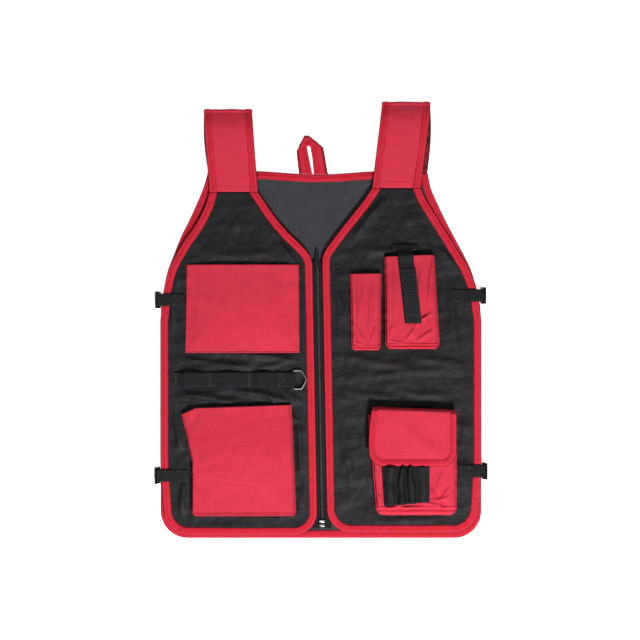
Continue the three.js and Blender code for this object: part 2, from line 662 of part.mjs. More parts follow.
// Webbing along stops on its underside. Its face points to across turned into the way it runs.
function webbing(stops, across, width, thickness) {
  const half = across.clone().multiplyScalar(width / 2);
  const grid = stops.map((p) => [p.clone().sub(half), p.clone().add(half)]);
  return cloth(grid, thickness);
}

// Runs from its anchor over the phone pocket's mouth and down its face.
function phoneStrap() {
  const face = onPocket(PHONE_POCKET);
  const mouthY = yOf(PHONE_POCKET.mouth.up) + PHONE_POCKET.rightRise;
  const anchorY = yOf(PHONE_STRAP.anchorUp);
  const footY = yOf(PHONE_STRAP.footUp);
  const anchorTop = WEB + LAYER_GAP;
  const rise = PHONE_POCKET.depth + POCKET_CLOTH + LAYER_GAP;
  const xAt = (y) => mix(xOf(PHONE_STRAP.topX), xOf(PHONE_STRAP.footX), (anchorY - y) / (anchorY - footY));
  const at = (y, lift) => vector(xAt(y), y, frontTop(xAt(y), y) + lift);
  const stops = [
    at(anchorY + ANCHOR.length / 2, anchorTop),
    at(anchorY - ANCHOR.length * 0.2, anchorTop + 0.3),
    at(mouthY + 5.5, rise * 0.42),
    at(mouthY + 3.2, rise - 1.5),
    at(mouthY - 1.5, rise + 1),
    ...steps(4).map((t) => {
      const y = mix(mouthY - 9, footY, t);
      return vector(xAt(y), y, face(xAt(y), y));
    }),
  ];
  return webbing(stops, vector(-1, 0, 0), PHONE_STRAP.width, WEB);
}

function strapAnchor() {
  const [x, y] = [xOf(PHONE_STRAP.topX), yOf(PHONE_STRAP.anchorUp)];
  const grid = [-0.5, 0.5].map((v) =>
    steps(3).map((t) => {
      const place = [x + ANCHOR.width * (t - 0.5), y + ANCHOR.length * v];
      return vector(...place, frontTop(...place));
    }),
  );
  return cloth(grid, WEB);
}

// The ring's bar lies across the belt's end, in the fold of the webbing.
const beltY = yOf(BELT.up);
const barRoom = RING.wire / 2 + RING_EASE; // inner radius of the fold
const barX = xOf(BELT.right) - barRoom - WEB;
const barZ = frontTop(barX, beltY) + WEB + barRoom;

// From its left end over the tacks to the ring, round the ring's bar and back below itself.
function beltWebbing() {
  const left = xOf(BELT.left);
  const underX = barX - BELT.returnLength;
  const tackX = (share) => mix(left, barX, share);
  const base = (x) => frontTop(x, beltY);
  const stops = [];
  BELT_TACKS.slice(0, -1).forEach((share, i) => {
    const [from, to] = [tackX(share), Math.min(tackX(BELT_TACKS[i + 1]), underX - 4)];
    for (const t of steps(6).slice(0, -1)) {
      const x = mix(from, to, t);
      stops.push(vector(x, beltY, base(x) + BELT_LIFT * Math.sin(Math.PI * t) ** 2));
    }
    if (i === BELT_TACKS.length - 2) stops.push(vector(to, beltY, base(to)));
  });
  const overZ = (x) => base(x) + WEB + LAYER_GAP;
  for (const x of [underX + 2, underX + 12]) stops.push(vector(x, beltY, overZ(x)));
  for (const turn of [90, 45, 0, -45, -90]) {
    const angle = THREE.MathUtils.degToRad(turn);
    stops.push(vector(barX + barRoom * Math.cos(angle), beltY, barZ + barRoom * Math.sin(angle)));
  }
  for (const x of [underX + 11, underX + 1.5]) stops.push(vector(x, beltY, base(x) + WEB));
  return webbing(stops, vector(0, -1, 0), BELT.width, WEB);
}

// A flat outline with holes, given a thickness and centred on it.
function plate(outline, holes, thickness, bevel) {
  const shape = new THREE.Shape(outline.map(([x, y]) => new THREE.Vector2(x, y)));
  shape.holes = holes.map((hole) => new THREE.Path(hole.map(([x, y]) => new THREE.Vector2(x, y))));
  const made = new THREE.ExtrudeGeometry(shape, {
    depth: thickness - 2 * bevel,
    bevelEnabled: bevel > 0,
    bevelThickness: bevel,
    bevelSize: bevel,
    bevelOffset: -bevel,
    bevelSegments: 1,
    curveSegments: 6,
  });
  return made.translate(0, 0, bevel - thickness / 2);
}

// A six-cornered D: a straight bar, two short shoulders and a blunt tip.
function ringGeometry() {
  const outline = (grow) => {
    const high = (RING.inside + RING.wire) / 2 + grow;
    return [
      [-grow, -high],
      [RING.shoulder + grow * 0.6, -high],
      [RING.reach + grow, -RING.tip / 2 - grow * 0.3],
      [RING.reach + grow, RING.tip / 2 + grow * 0.3],
      [RING.shoulder + grow * 0.6, high],
      [-grow, high],
    ];
  };
  const inner = outline(-RING.wire / 2).reverse();
  return plate(outline(RING.wire / 2), [inner], RING.wire, RING.wire * 0.27);
}

function toManifold(geometry) {
  const bare = geometry.clone();
  bare.deleteAttribute("normal");
  bare.deleteAttribute("uv");
  const merged = mergeVertices(bare, 1e-4);
  return new wasm.Manifold(
    new wasm.Mesh({
      numProp: 3,
      vertProperties: merged.attributes.position.array,
      triVerts: new Uint32Array(merged.index.array),
    }),
  );
}

function toGeometry(manifold) {
  const mesh = manifold.getMesh();
  return new THREE.BufferGeometry()
    .setAttribute("position", new THREE.BufferAttribute(mesh.vertProperties, 3))
    .setIndex(new THREE.BufferAttribute(mesh.triVerts, 1));
}

const box = (x, y, z, place = [0, 0, 0]) => new THREE.BoxGeometry(x, y, z).translate(...place);

// Zip: the tapes lie under the front bindings, and the chain on the tapes.
const zipTapeZ = (x, y) => frontHeight(x, y) - INSET - LAYER_GAP;
const zipY = {
  low: HEM_Y + TAPE_WIDTH + ZIP_TAPE.below,
  high: yOf(SLIDER.up) + SLIDER.length / 2 + ZIP_TAPE.above,
};

function zipTape(side) {
  const sign = SIGN[side];
  const grid = steps(14).map((t) => {
    const y = mix(zipY.low, zipY.high, t);
    const inner = zipX(y) + sign * CHAIN.core;
    const outer = inner + sign * ZIP_TAPE.width;
    const ends = side === "left" ? [outer, inner] : [inner, outer];
    return ends.map((x) => vector(x, y, zipTapeZ(zipX(y), y) - ZIP_TAPE.thickness));
  });
  return cloth(grid, ZIP_TAPE.thickness);
}

function zipChain() {
  const low = yOf(RETAINER.up) + RETAINER.length / 2 + SEAM_GAP;
  const high = yOf(SLIDER.up) - SLIDER.length * 0.05;
  const half = CHAIN.width / 2;
  const grid = steps(14).map((t) => {
    const y = mix(low, high, t);
    const z = zipTapeZ(zipX(y), y) + LAYER_GAP;
    return [vector(zipX(y) - half, y, z), vector(zipX(y), y, z), vector(zipX(y) + half, y, z)];
  });
  return cloth(grid, CHAIN.height);
}

// The slider: two plates round the chain, joined by a post, with rails and a lug for the pull.
const slotHeight = ZIP_TAPE.thickness + LAYER_GAP + CHAIN.height + LAYER_GAP * 2;
const lugTop = slotHeight / 2 + SLIDER.plate + LUG.gap + LUG.wall;
const pinZ = slotHeight / 2 + SLIDER.plate + LUG.gap / 2;

function sliderGeometry() {
  const tall = slotHeight + 2 * SLIDER.plate;
  const [w, l] = [SLIDER.width / 2, SLIDER.length / 2];
  const outline = [
    [-w * 0.72, -l], [w * 0.72, -l], [w * 0.78, -l * 0.1], [w, l * 0.35],
    [w * 0.8, l], [-w * 0.8, l], [-w, l * 0.35], [-w * 0.78, -l * 0.1],
  ];
  const post = new THREE.CylinderGeometry(SLIDER.post, SLIDER.post, tall, 8).rotateX(Math.PI / 2);
  const lug = box(LUG.width, LUG.length, LUG.gap + LUG.wall);
  const lugZ = slotHeight / 2 + SLIDER.plate + (LUG.gap + LUG.wall) / 2;
  const eye = box(LUG.width * 2, LUG.length - 2 * LUG.wall, LUG.gap, [0, 0, lugZ - LUG.wall / 2]);
  const body = toManifold(plate(outline, [], tall, 0.5))
    .subtract(toManifold(box(SLIDER.width * 2, SLIDER.length * 2, slotHeight)))
    .add(toManifold(post.translate(0, l * 0.62, 0)))
    .add(toManifold(lug.translate(0, 0, lugZ - 0.1)))
    .subtract(toManifold(eye));
  return toGeometry(body);
}

// The pull: a tab with a window round the slider's lug and a hole at its far end.
function pullGeometry() {
  const w = PULL.width / 2;
  const arm = LUG.width / 2 + PULL_EASE;
  const tab = [
    [-w * 0.8, -PULL.pin], [w * 0.8, -PULL.pin], [w, PULL.window], [w * 0.8, PULL.length - 2],
    [w * 0.45, PULL.length], [-w * 0.45, PULL.length], [-w * 0.8, PULL.length - 2], [-w, PULL.window],
  ];
  const window = [[-arm, PULL.pin], [-arm, PULL.window], [arm, PULL.window], [arm, PULL.pin]];
  const holeY = PULL.length - PULL.hole - 2;
  const hole = steps(8).slice(1).map((t) => {
    const angle = -t * 2 * Math.PI;
    return [PULL.hole * Math.cos(angle), holeY + PULL.hole * Math.sin(angle)];
  });
  return plate(tab, [window, hole], PULL.thickness, 0.3);
}

function retainerGeometry() {
  const [w, l] = [RETAINER.width / 2, RETAINER.length / 2];
  const outline = [[-w, -l], [w, -l], [w, l], [-w, l]];
  const groove = (y) => box(RETAINER.width * 2, RETAINER.length * 0.1, RETAINER.height * 0.3, [0, y, RETAINER.height / 2]);
  const body = [-0.22, 0.22].reduce(
    (made, share) => made.subtract(toManifold(groove(share * RETAINER.length))),
    toManifold(plate(outline, [], RETAINER.height, 0.7)),
  );
  return toGeometry(body);
}

// A buckle with a middle bar. Its length runs along Y, and its width up a slope beside the vest.
function buckleGeometry() {
  const [l, w] = [BUCKLE.length / 2, BUCKLE.width / 2];
  const slotWidth = w - 1.5 * BUCKLE.bar;
  const slot = box(slotWidth, BUCKLE.length - 2 * BUCKLE.bar, BUCKLE.thickness * 2);
  const frame = toManifold(plate([[-w, -l], [w, -l], [w, l], [-w, l]], [], BUCKLE.thickness, 0.5));
  const middle = (BUCKLE.bar + slotWidth) / 2;
  const body = [-middle, middle].reduce(
    (made, x) => made.subtract(toManifold(slot.clone().translate(x, 0, 0))),
    frame,
  );
  return toGeometry(body);
}

// Where a side strap's buckle stands: its middle and the way up its slope.
function buckleSeat(row) {
  const sign = SIGN[row.side];
  const tilt = THREE.MathUtils.degToRad(BUCKLE.tilt);
  const slope = vector(sign * Math.cos(tilt), 0, Math.sin(tilt));
  const out = vector(sign * Math.sin(tilt), 0, -Math.cos(tilt));
  const lowest = (BUCKLE.width / 2) * Math.sin(tilt) + (BUCKLE.thickness / 2) * Math.cos(tilt);
  const y = yOf(row.up);
  const edgeAt = row.side === "left" ? back.leftAt : back.rightAt;
  const edges = [-0.5, 0, 0.5].map((t) => Math.abs(edgeAt(y + t * BUCKLE.length)));
  const halfDepth = (BUCKLE.width / 2) * Math.cos(tilt) + (BUCKLE.thickness / 2) * Math.sin(tilt);
  const x = Math.max(...edges) + INSET + LAYER_GAP + halfDepth;
  return { sign, slope, out, middle: vector(sign * x, y, lowest), y };
}

// From its seam on the front over the binding, out through the upper slot, down over the middle
// bar and in through the lower slot.
function frontSideWeb(row) {
  const { sign, slope, out, middle, y } = buckleSeat(row);
  const edge = frontOutline(row.side).outerAt(y);
  const on = (x, lift) => vector(x, y, frontTop(x, y) + lift);
  const overTape = INSET + EASE;
  const room = BUCKLE.thickness / 2 + BUCKLE_EASE;
  const slotMiddle = (BUCKLE.bar / 2 + BUCKLE.width / 2 - BUCKLE.bar) / 2;
  const near = (up, away) => middle.clone().addScaledVector(slope, up).addScaledVector(out, away);
  const stops = [
    on(edge - sign * row.frontIn, 0),
    on(edge - sign * (TAPE_WIDTH + 7), 0),
    on(edge - sign * (TAPE_WIDTH + 1), overTape),
    on(edge - sign * 1, overTape),
    near(slotMiddle + 0.6, -room - 0.4),
    near(slotMiddle, 0),
    near(slotMiddle - 1.2, room),
    near(0, room + 0.3),
    near(-slotMiddle + 2.2, room),
    near(-slotMiddle + 0.9, 0),
    near(-slotMiddle + 0.9, -room - 1.5),
  ];
  return webbing(stops, vector(0, -sign, 0), SIDE_WEB, WEB);
}

// From its seam on the back over the back binding, round the buckle's lower bar.
function backSideWeb(row) {
  const { sign, slope, out, middle, y } = buckleSeat(row);
  const edge = (row.side === "left" ? back.leftAt : back.rightAt)(y);
  const on = (x, lift) => vector(x, y, backHeight(x, y) + CLOTH + LAYER_GAP + lift);
  const bar = middle.clone().addScaledVector(slope, -(BUCKLE.width - BUCKLE.bar) / 2);
  const room = BUCKLE.thickness / 2 + BUCKLE_EASE;
  const near = (up, away) => bar.clone().addScaledVector(slope, up).addScaledVector(out, away);
  const stops = [
    on(edge - sign * row.backIn, 0),
    on(edge - sign * (2 * FLAT_BAND), 0),
    on(edge - sign * (TAPE_WIDTH + 2.5), INSET - EASE),
    on(edge, INSET),
    near(room - 0.2, -room),
    near(room, room * 0.5),
  ];
  return webbing(stops, vector(0, -sign, 0), SIDE_WEB, WEB);
}

// The hanging loop: tape that runs up, folds to a point and comes down beside itself.
function hangLoop() {
  const half = HANG_LOOP.width / 2;
  const { length, tape, slit, lean } = HANG_LOOP;
  const shift = (y) => lean * (1 - y / length);
  const point = (x, y) => [x - shift(y) + lean, y];
  const shoulder = length * 0.65;
  const outline = [
    point(-half + 2, 0), point(half + 1, 0), point(half - 1, shoulder),
    point(0.5, length), point(-4.5, length), point(-half, shoulder * 0.86),
  ];
  const slot = [
    [point(0.2, -4), point(-slit / 2, length - tape), point(slit / 2, length - tape), point(3.4, -4)],
  ];
  const cut = plate(slot[0], [], 8, 0);
  return toGeometry(toManifold(plate(outline, [], 2 * TAPE, 0)).subtract(toManifold(cut)));
}

const finish = (color, roughness, metalness = 0) => new THREE.MeshStandardMaterial({ color, roughness, metalness });
const MATERIALS = {
  black: finish("#2b292c", 0.85),
  lining: finish("#434345", 0.85),
  red: finish("#dd3850", 0.8),
  tape: finish("#db1a3a", 0.75),
  web: finish("#1f1f22", 0.9),
  plastic: finish("#141415", 0.35),
  metal: finish("#8d8b8c", 0.35, 1),
};

const vest = new THREE.Group();

function add(name, geometry, material) {
  const mesh = new THREE.Mesh(geometry, material);
  mesh.name = name;
  vest.add(mesh);
  return mesh;
}

add("back_panel", backPanel(), MATERIALS.lining);
add("back_binding_hem", hemBinding(), MATERIALS.tape);
add("neck_binding", neckBinding(), MATERIALS.tape);
for (const side of ["left", "right"]) {
  add(`back_binding_${side}`, backSideBinding(side), MATERIALS.tape);
  add(`front_panel_${side}`, frontPanel(side), MATERIALS.black);
  add(`front_binding_${side}`, frontBinding(side), MATERIALS.tape);
  add(`shoulder_strap_${side}`, strapCloth(side), MATERIALS.red);
  add(`strap_binding_${side}_outer`, strapBinding(side, SIGN[side]), MATERIALS.tape);
  add(`strap_binding_${side}_inner`, strapBinding(side, -SIGN[side]), MATERIALS.tape);
  add(`zip_tape_${side}`, zipTape(side), MATERIALS.web);
}

add("chest_pocket", patchPocket(CHEST_POCKET), MATERIALS.red);
add("lower_left_pocket", boxPocket(LOWER_LEFT_POCKET), MATERIALS.red);
add("pen_pocket", boxPocket(PEN_POCKET), MATERIALS.red);
add("phone_pocket", boxPocket(PHONE_POCKET), MATERIALS.red);
add("phone_strap", phoneStrap(), MATERIALS.web);
add("phone_strap_anchor", strapAnchor(), MATERIALS.web);
add("flap_pocket", boxPocket(FLAP_POCKET), MATERIALS.red);
add("pocket_flap", flapCloth(), MATERIALS.red);
add("flap_binding", flapBinding(), MATERIALS.tape);
add("tool_loops", toolLoops(), MATERIALS.web);

add("belt_webbing", beltWebbing(), MATERIALS.web);
const ring = add("d_ring", ringGeometry(), MATERIALS.metal);
ring.position.set(barX, beltY, barZ);

add("zip_chain", zipChain(), MATERIALS.web);
const zipUnder = zipTapeZ(zipX(yOf(SLIDER.up)), yOf(SLIDER.up)) - ZIP_TAPE.thickness;
const sliderPlace = vector(zipX(yOf(SLIDER.up)), yOf(SLIDER.up), zipUnder - LAYER_GAP + slotHeight / 2);
add("zip_slider", sliderGeometry(), MATERIALS.plastic).position.copy(sliderPlace);
const pull = add("zip_pull", pullGeometry(), MATERIALS.plastic);
pull.position.copy(sliderPlace).add(vector(0, 0, pinZ));
pull.rotation.x = THREE.MathUtils.degToRad(-PULL.lean);
const retainerY = yOf(RETAINER.up);
const retainerZ = zipTapeZ(zipX(retainerY), retainerY) + LAYER_GAP + RETAINER.height / 2;
add("zip_retainer", retainerGeometry(), MATERIALS.metal).position.set(zipX(retainerY), retainerY, retainerZ);

for (const row of SIDE_STRAPS) {
  add(`side_web_front_${row.name}`, frontSideWeb(row), MATERIALS.web);
  add(`side_web_back_${row.name}`, backSideWeb(row), MATERIALS.web);
  const seat = buckleSeat(row);
  const buckle = add(`side_buckle_${row.name}`, buckleGeometry(), MATERIALS.plastic);
  buckle.position.copy(seat.middle);
  const across = vector(0, 1, 0);
  const basis = new THREE.Matrix4().makeBasis(seat.slope, across, seat.slope.clone().cross(across));
  buckle.quaternion.setFromRotationMatrix(basis);
}

const loop = add("hang_loop", hangLoop(), MATERIALS.tape);
const loopEnds = [-0.5, 0.5].map((t) => backNeckY(xOf(HANG_LOOP.x) + t * (HANG_LOOP.width + 4)));
loop.position.set(xOf(HANG_LOOP.x), Math.max(...loopEnds) + INSET + SEAM_GAP, TAPE);

export default vest;
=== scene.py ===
"""A utility work vest laid flat on its back, dressed in cloth, tape, webbing and small hardware.

Sizes are in millimetres and are turned to metres where a mesh is made. X runs across the vest, Y from
the hem to the shoulders, and Z up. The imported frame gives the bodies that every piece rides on.
"""

import logging
import math
from collections.abc import Callable, Sequence
from dataclasses import dataclass, field
from enum import Enum

import bpy
import numpy as np
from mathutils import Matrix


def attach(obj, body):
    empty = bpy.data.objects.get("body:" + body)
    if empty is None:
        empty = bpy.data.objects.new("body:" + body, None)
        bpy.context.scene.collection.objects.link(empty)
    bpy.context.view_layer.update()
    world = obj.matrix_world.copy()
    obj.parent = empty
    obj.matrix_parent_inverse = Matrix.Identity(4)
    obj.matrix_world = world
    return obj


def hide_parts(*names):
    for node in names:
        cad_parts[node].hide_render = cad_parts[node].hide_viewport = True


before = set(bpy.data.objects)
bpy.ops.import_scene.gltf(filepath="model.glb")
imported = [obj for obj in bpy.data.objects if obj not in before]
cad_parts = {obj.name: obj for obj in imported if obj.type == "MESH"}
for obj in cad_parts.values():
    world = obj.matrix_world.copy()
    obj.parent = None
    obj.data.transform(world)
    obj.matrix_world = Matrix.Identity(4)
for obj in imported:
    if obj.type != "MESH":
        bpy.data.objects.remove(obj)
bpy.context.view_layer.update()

log = logging.getLogger("vest")
Array = np.ndarray
Curve = Callable[[Array], Array]
Surface = Callable[[Array, Array], Array]
Piece = bpy.types.Object
Material = bpy.types.Material
Tree = bpy.types.NodeTree
UP = np.array([0.0, 0.0, 1.0])
MM = 0.001


class Side(Enum):
    """A side of the vest, as someone looking down at it sees it."""

    LEFT = -1
    RIGHT = 1


class Hold(Enum):
    """How a piece of cloth lies."""

    LAID = "laid"
    FOLDED = "folded"


def mix(a: float | Array, b: float | Array, t: float | Array) -> float | Array:
    """The value a share t of the way from a to b."""
    return a + (b - a) * t


def smooth(t: float | Array) -> float | Array:
    """An S-shaped step from 0 to 1."""
    t = np.clip(t, 0.0, 1.0)
    return t * t * (3.0 - 2.0 * t)


def through(places: Sequence[float], values: Sequence[float]) -> Curve:
    """A smooth curve through points.

    Args:
        places: Where the points are, from 0 to 1.
        values: Their values.

    Returns:
        The curve, which holds its end values beyond the ends.
    """
    at, to = np.array(places, float), np.array(values, float)
    low, high = np.maximum(np.arange(len(at)) - 1, 0), np.minimum(np.arange(len(at)) + 1, len(at) - 1)
    slope = (to[high] - to[low]) / (at[high] - at[low])

    def curve(t: Array) -> Array:
        """The curve's value at t.

        Args:
            t: Places from 0 to 1.

        Returns:
            The value at each place.
        """
        t = np.clip(np.asarray(t, float), 0.0, 1.0)
        i = np.clip(np.searchsorted(at, t, side="right") - 1, 0, len(at) - 2)
        span = at[i + 1] - at[i]
        s = (t - at[i]) / span
        lean = slope[i] * span * s * (1 - s) ** 2 - slope[i + 1] * span * s * s * (1 - s)
        return mix(to[i], to[i + 1], smooth(s)) + lean

    return curve


def unevenness(x: Array, y: Array, size: float, seed: int, waves: int = 9) -> Array:
    """Gentle waves in many directions, about 1 high.

    Args:
        x: Places across.
        y: Places along.
        size: Typical distance between crests.
        seed: Picks the directions.
        waves: How many waves are added up.

    Returns:
        The height at each place.
    """
    pick = np.random.default_rng(seed)
    turn, start = pick.uniform(0, math.pi, waves), pick.uniform(0, 2 * math.pi, waves)
    often = pick.uniform(0.6, 1.5, waves) / size
    total = np.zeros(np.broadcast(x, y).shape)
    for a, s, f in zip(turn, start, often):
        total = total + np.sin(2 * math.pi * f * (x * math.cos(a) + y * math.sin(a)) + s)
    return total / math.sqrt(waves)


def spline(points: Array, step: float) -> Array:
    """A smooth line through points, with even steps.

    Args:
        points: The points, one in each row.
        step: Distance between the points of the result.

    Returns:
        The points of the line.
    """
    p = np.vstack([2 * points[0] - points[1], points, 2 * points[-1] - points[-2]])
    t = np.linspace(0, 1, 12, endpoint=False)[:, None]
    parts = []
    for a, b, c, d in zip(p, p[1:], p[2:], p[3:]):
        square, cube = 2 * a - 5 * b + 4 * c - d, 3 * b - a - 3 * c + d
        parts.append(0.5 * (2 * b + (c - a) * t + square * t**2 + cube * t**3))
    return evenly(np.vstack([*parts, points[-1:]]), step)


def evenly(points: Array, step: float) -> Array:
    """The same line with even steps.

    Args:
        points: The points of a line, one in each row.
        step: Distance between the points of the result.

    Returns:
        The points of the line, its ends kept.
    """
    gone = distances(points)
    stops = np.linspace(0, gone[-1], max(2, int(round(gone[-1] / step)) + 1))
    return np.stack([np.interp(stops, gone, points[:, k]) for k in range(points.shape[1])], axis=1)


def distances(line: Array) -> Array:
    """How far along a line each of its points is."""
    return np.concatenate([[0.0], np.linalg.norm(np.diff(line, axis=0), axis=1).cumsum()])


def unit(v: Array) -> Array:
    """Vectors of length 1."""
    return v / np.maximum(np.linalg.norm(v, axis=-1, keepdims=True), 1e-9)


# Materials


def linear(hex_colour: str) -> tuple[float, float, float, float]:
    """The linear colour of an sRGB hex value.

    Args:
        hex_colour: Six hex digits after a hash.

    Returns:
        Red, green, blue and alpha.
    """
    parts = [int(hex_colour[i : i + 2], 16) / 255 for i in (1, 3, 5)]
    red, green, blue = (c / 12.92 if c <= 0.04045 else ((c + 0.055) / 1.055) ** 2.4 for c in parts)
    return (red, green, blue, 1.0)


def put(tree: Tree, kind: str, inputs: dict | None = None, **settings: object) -> bpy.types.Node:
    """Adds a node.

    Args:
        tree: The tree that it goes into.
        kind: The node's type.
        inputs: What each socket gets, by name or number: a value, a socket to link from, or a node whose
            first output is linked.
        settings: The node's own settings.

    Returns:
        The node.
    """
    node = tree.nodes.new(kind)
    for key, value in settings.items():
        setattr(node, key, value)
    for key, value in (inputs or {}).items():
        source = value.outputs[0] if isinstance(value, bpy.types.Node) else value
        if isinstance(source, bpy.types.NodeSocket):
            tree.links.new(source, node.inputs[key])
        else:
            node.inputs[key].default_value = source
    return node


def blank(name: str) -> tuple[Material, Tree]:
    """A new material with an empty tree.

    Args:
        name: The material's name.

    Returns:
        The material and its tree.
    """
    material = bpy.data.materials.new(name)
    material.use_nodes = True
    material.node_tree.nodes.clear()
    return material, material.node_tree


@dataclass(frozen=True)
class WovenCloth:
    """Plain-woven polyester, piece dyed: matt, with thread slubs and a soft bloom where it turns away."""

    name: str
    light: str
    deep: str
    thread: float = 1.25  # real spacing is about 0.6 mm; drawn twice as coarse so that it shows up close
    mottle: float = 0.5
    relief: float = 0.5
    bloom: float = 0.12
    roughness: float = 0.82
    gloss: float = 0.18
    creasing: float = 0.25

    def material(self) -> Material:
        """Builds the material.

        Returns:
            The material.
        """
        made, tree = blank(self.name)
        uv = put(tree, "ShaderNodeUVMap", uv_map="cut")
        split = put(tree, "ShaderNodeSeparateXYZ", {0: uv})
        turn = 2 * math.pi / (2 * self.thread * MM)
        waves = []
        for axis in (0, 1):
            angle = put(tree, "ShaderNodeMath", {0: split.outputs[axis], 1: turn}, operation="MULTIPLY")
            waves.append(put(tree, "ShaderNodeMath", {0: angle}, operation="SINE"))
        warp, weft = waves
        weave = put(tree, "ShaderNodeMath", {0: warp, 1: weft}, operation="MULTIPLY")
        # Slubs are thick places in the yarn, about 3 by 25 mm as drawn, one set each way
        slubs = []
        for stretch in ((330.0, 40.0, 1.0), (40.0, 330.0, 1.0)):
            way = put(tree, "ShaderNodeMapping", {"Vector": uv, "Scale": stretch})
            slubs.append(put(tree, "ShaderNodeTexNoise", {"Vector": way, "Scale": 1.0, "Detail": 2.0}))
        slub = put(tree, "ShaderNodeMath", {0: slubs[0], 1: slubs[1]}, operation="ADD")
        # Uneven dye, in clouds about 35 mm across
        cloud = put(tree, "ShaderNodeTexNoise", {"Vector": uv, "Scale": 28.0, "Detail": 4.0})
        both = put(tree, "ShaderNodeMath", {0: slub, 1: cloud}, operation="ADD")
        share = put(tree, "ShaderNodeMapRange", {
            "Value": both, "From Min": 1.1, "From Max": 1.9, "To Max": self.mottle,
        })
        woven = put(tree, "ShaderNodeMath", {0: weave, 1: 0.12, 2: share}, operation="MULTIPLY_ADD")
        colour = put(tree, "ShaderNodeMix", {
            0: woven, 6: linear(self.light), 7: linear(self.deep),
        }, data_type="RGBA")
        # Handling leaves sharp little creases about 60 mm apart, and a finer crumple of 13 mm
        crease = put(tree, "ShaderNodeTexNoise", {
            "Vector": uv, "Scale": 17.0, "Detail": 2.0, "Roughness": 0.4, "Distortion": 0.6,
        }, noise_type="RIDGED_MULTIFRACTAL")
        sharp = put(tree, "ShaderNodeBump", {
            "Height": crease, "Strength": self.creasing, "Distance": 0.0035,
        })
        crumple = put(tree, "ShaderNodeTexNoise", {"Vector": uv, "Scale": 75.0, "Detail": 3.0})
        low = put(tree, "ShaderNodeBump", {
            "Height": crumple, "Strength": self.relief, "Distance": 0.0016, "Normal": sharp,
        })
        bump = put(tree, "ShaderNodeBump", {
            "Height": woven, "Strength": self.relief, "Distance": 0.0005, "Normal": low,
        })
        shader = put(tree, "ShaderNodeBsdfPrincipled", {
            "Base Color": colour.outputs[2], "Roughness": self.roughness, "IOR": 1.5,
            "Specular IOR Level": self.gloss, "Sheen Weight": self.bloom, "Sheen Roughness": 0.55,
            "Sheen Tint": linear(self.light), "Normal": bump,
        })
        put(tree, "ShaderNodeOutputMaterial", {"Surface": shader})
        return made


@dataclass(frozen=True)
class BindingTape:
    """Folded polyester tape: saturated along its middle, with pale pressed blotches, two painted highlight
    bands along its face and painted shade at its outer fold.
    """

    name: str
    middle: str
    # The colour of the painted highlight bands and of the pressed blotches
    highlight_and_pressed: str
    # The painted shade along the outer fold
    fold: str
    width: float = 11.0
    turn: float = 1.2  # the way round the fold on one side
    rib: float = 1.6  # real ribs are 0.5 mm apart; drawn coarser so that they show

    def material(self) -> Material:
        """Builds the material.

        Returns:
            The material.
        """
        made, tree = blank(self.name)
        uv = put(tree, "ShaderNodeUVMap", uv_map="cut")
        split = put(tree, "ShaderNodeSeparateXYZ", {0: uv})
        across = put(tree, "ShaderNodeMapRange", {
            "Value": split.outputs[1], "From Min": 0.0, "From Max": (self.width + self.turn) * MM,
        })
        ramp = put(tree, "ShaderNodeValToRGB", {0: across})
        # Across the tape: painted shade on the outer fold, then two painted highlight bands along the face
        stops = (
            (0.0, self.fold), (0.12, self.fold), (0.2, self.middle), (0.3, self.highlight_and_pressed), (0.46, self.middle),
            (0.72, self.middle), (0.84, self.highlight_and_pressed), (0.92, self.middle), (1.0, self.middle),
        )
        for i, (place, colour) in enumerate(stops):
            stop = ramp.color_ramp.elements[i] if i < 2 else ramp.color_ramp.elements.new(place)
            stop.position, stop.color = place, linear(colour)
        # Pressing leaves lighter blotches about 10 mm long, in the colour that also paints the highlight
        # bands
        blotch = put(tree, "ShaderNodeTexNoise", {"Vector": uv, "Scale": 95.0, "Detail": 3.0})
        share = put(tree, "ShaderNodeMapRange", {
            "Value": blotch, "From Min": 0.4, "From Max": 0.75, "To Max": 0.45,
        })
        colour = put(tree, "ShaderNodeMix", {0: share, 6: ramp, 7: linear(self.highlight_and_pressed)}, data_type="RGBA")
        often = 2 * math.pi / (self.rib * MM)
        angle = put(tree, "ShaderNodeMath", {0: split.outputs[0], 1: often}, operation="MULTIPLY")
        rib = put(tree, "ShaderNodeMath", {0: angle}, operation="SINE")
        uneven = put(tree, "ShaderNodeMath", {0: rib, 1: 0.25, 2: blotch}, operation="MULTIPLY_ADD")
        bump = put(tree, "ShaderNodeBump", {"Height": uneven, "Strength": 0.55, "Distance": 0.0008})
        shader = put(tree, "ShaderNodeBsdfPrincipled", {
            "Base Color": colour.outputs[2], "Roughness": 0.7, "IOR": 1.5, "Specular IOR Level": 0.2,
            "Sheen Weight": 0.08, "Sheen Roughness": 0.5, "Sheen Tint": linear(self.highlight_and_pressed), "Normal": bump,
        })
        put(tree, "ShaderNodeOutputMaterial", {"Surface": shader})
        return made


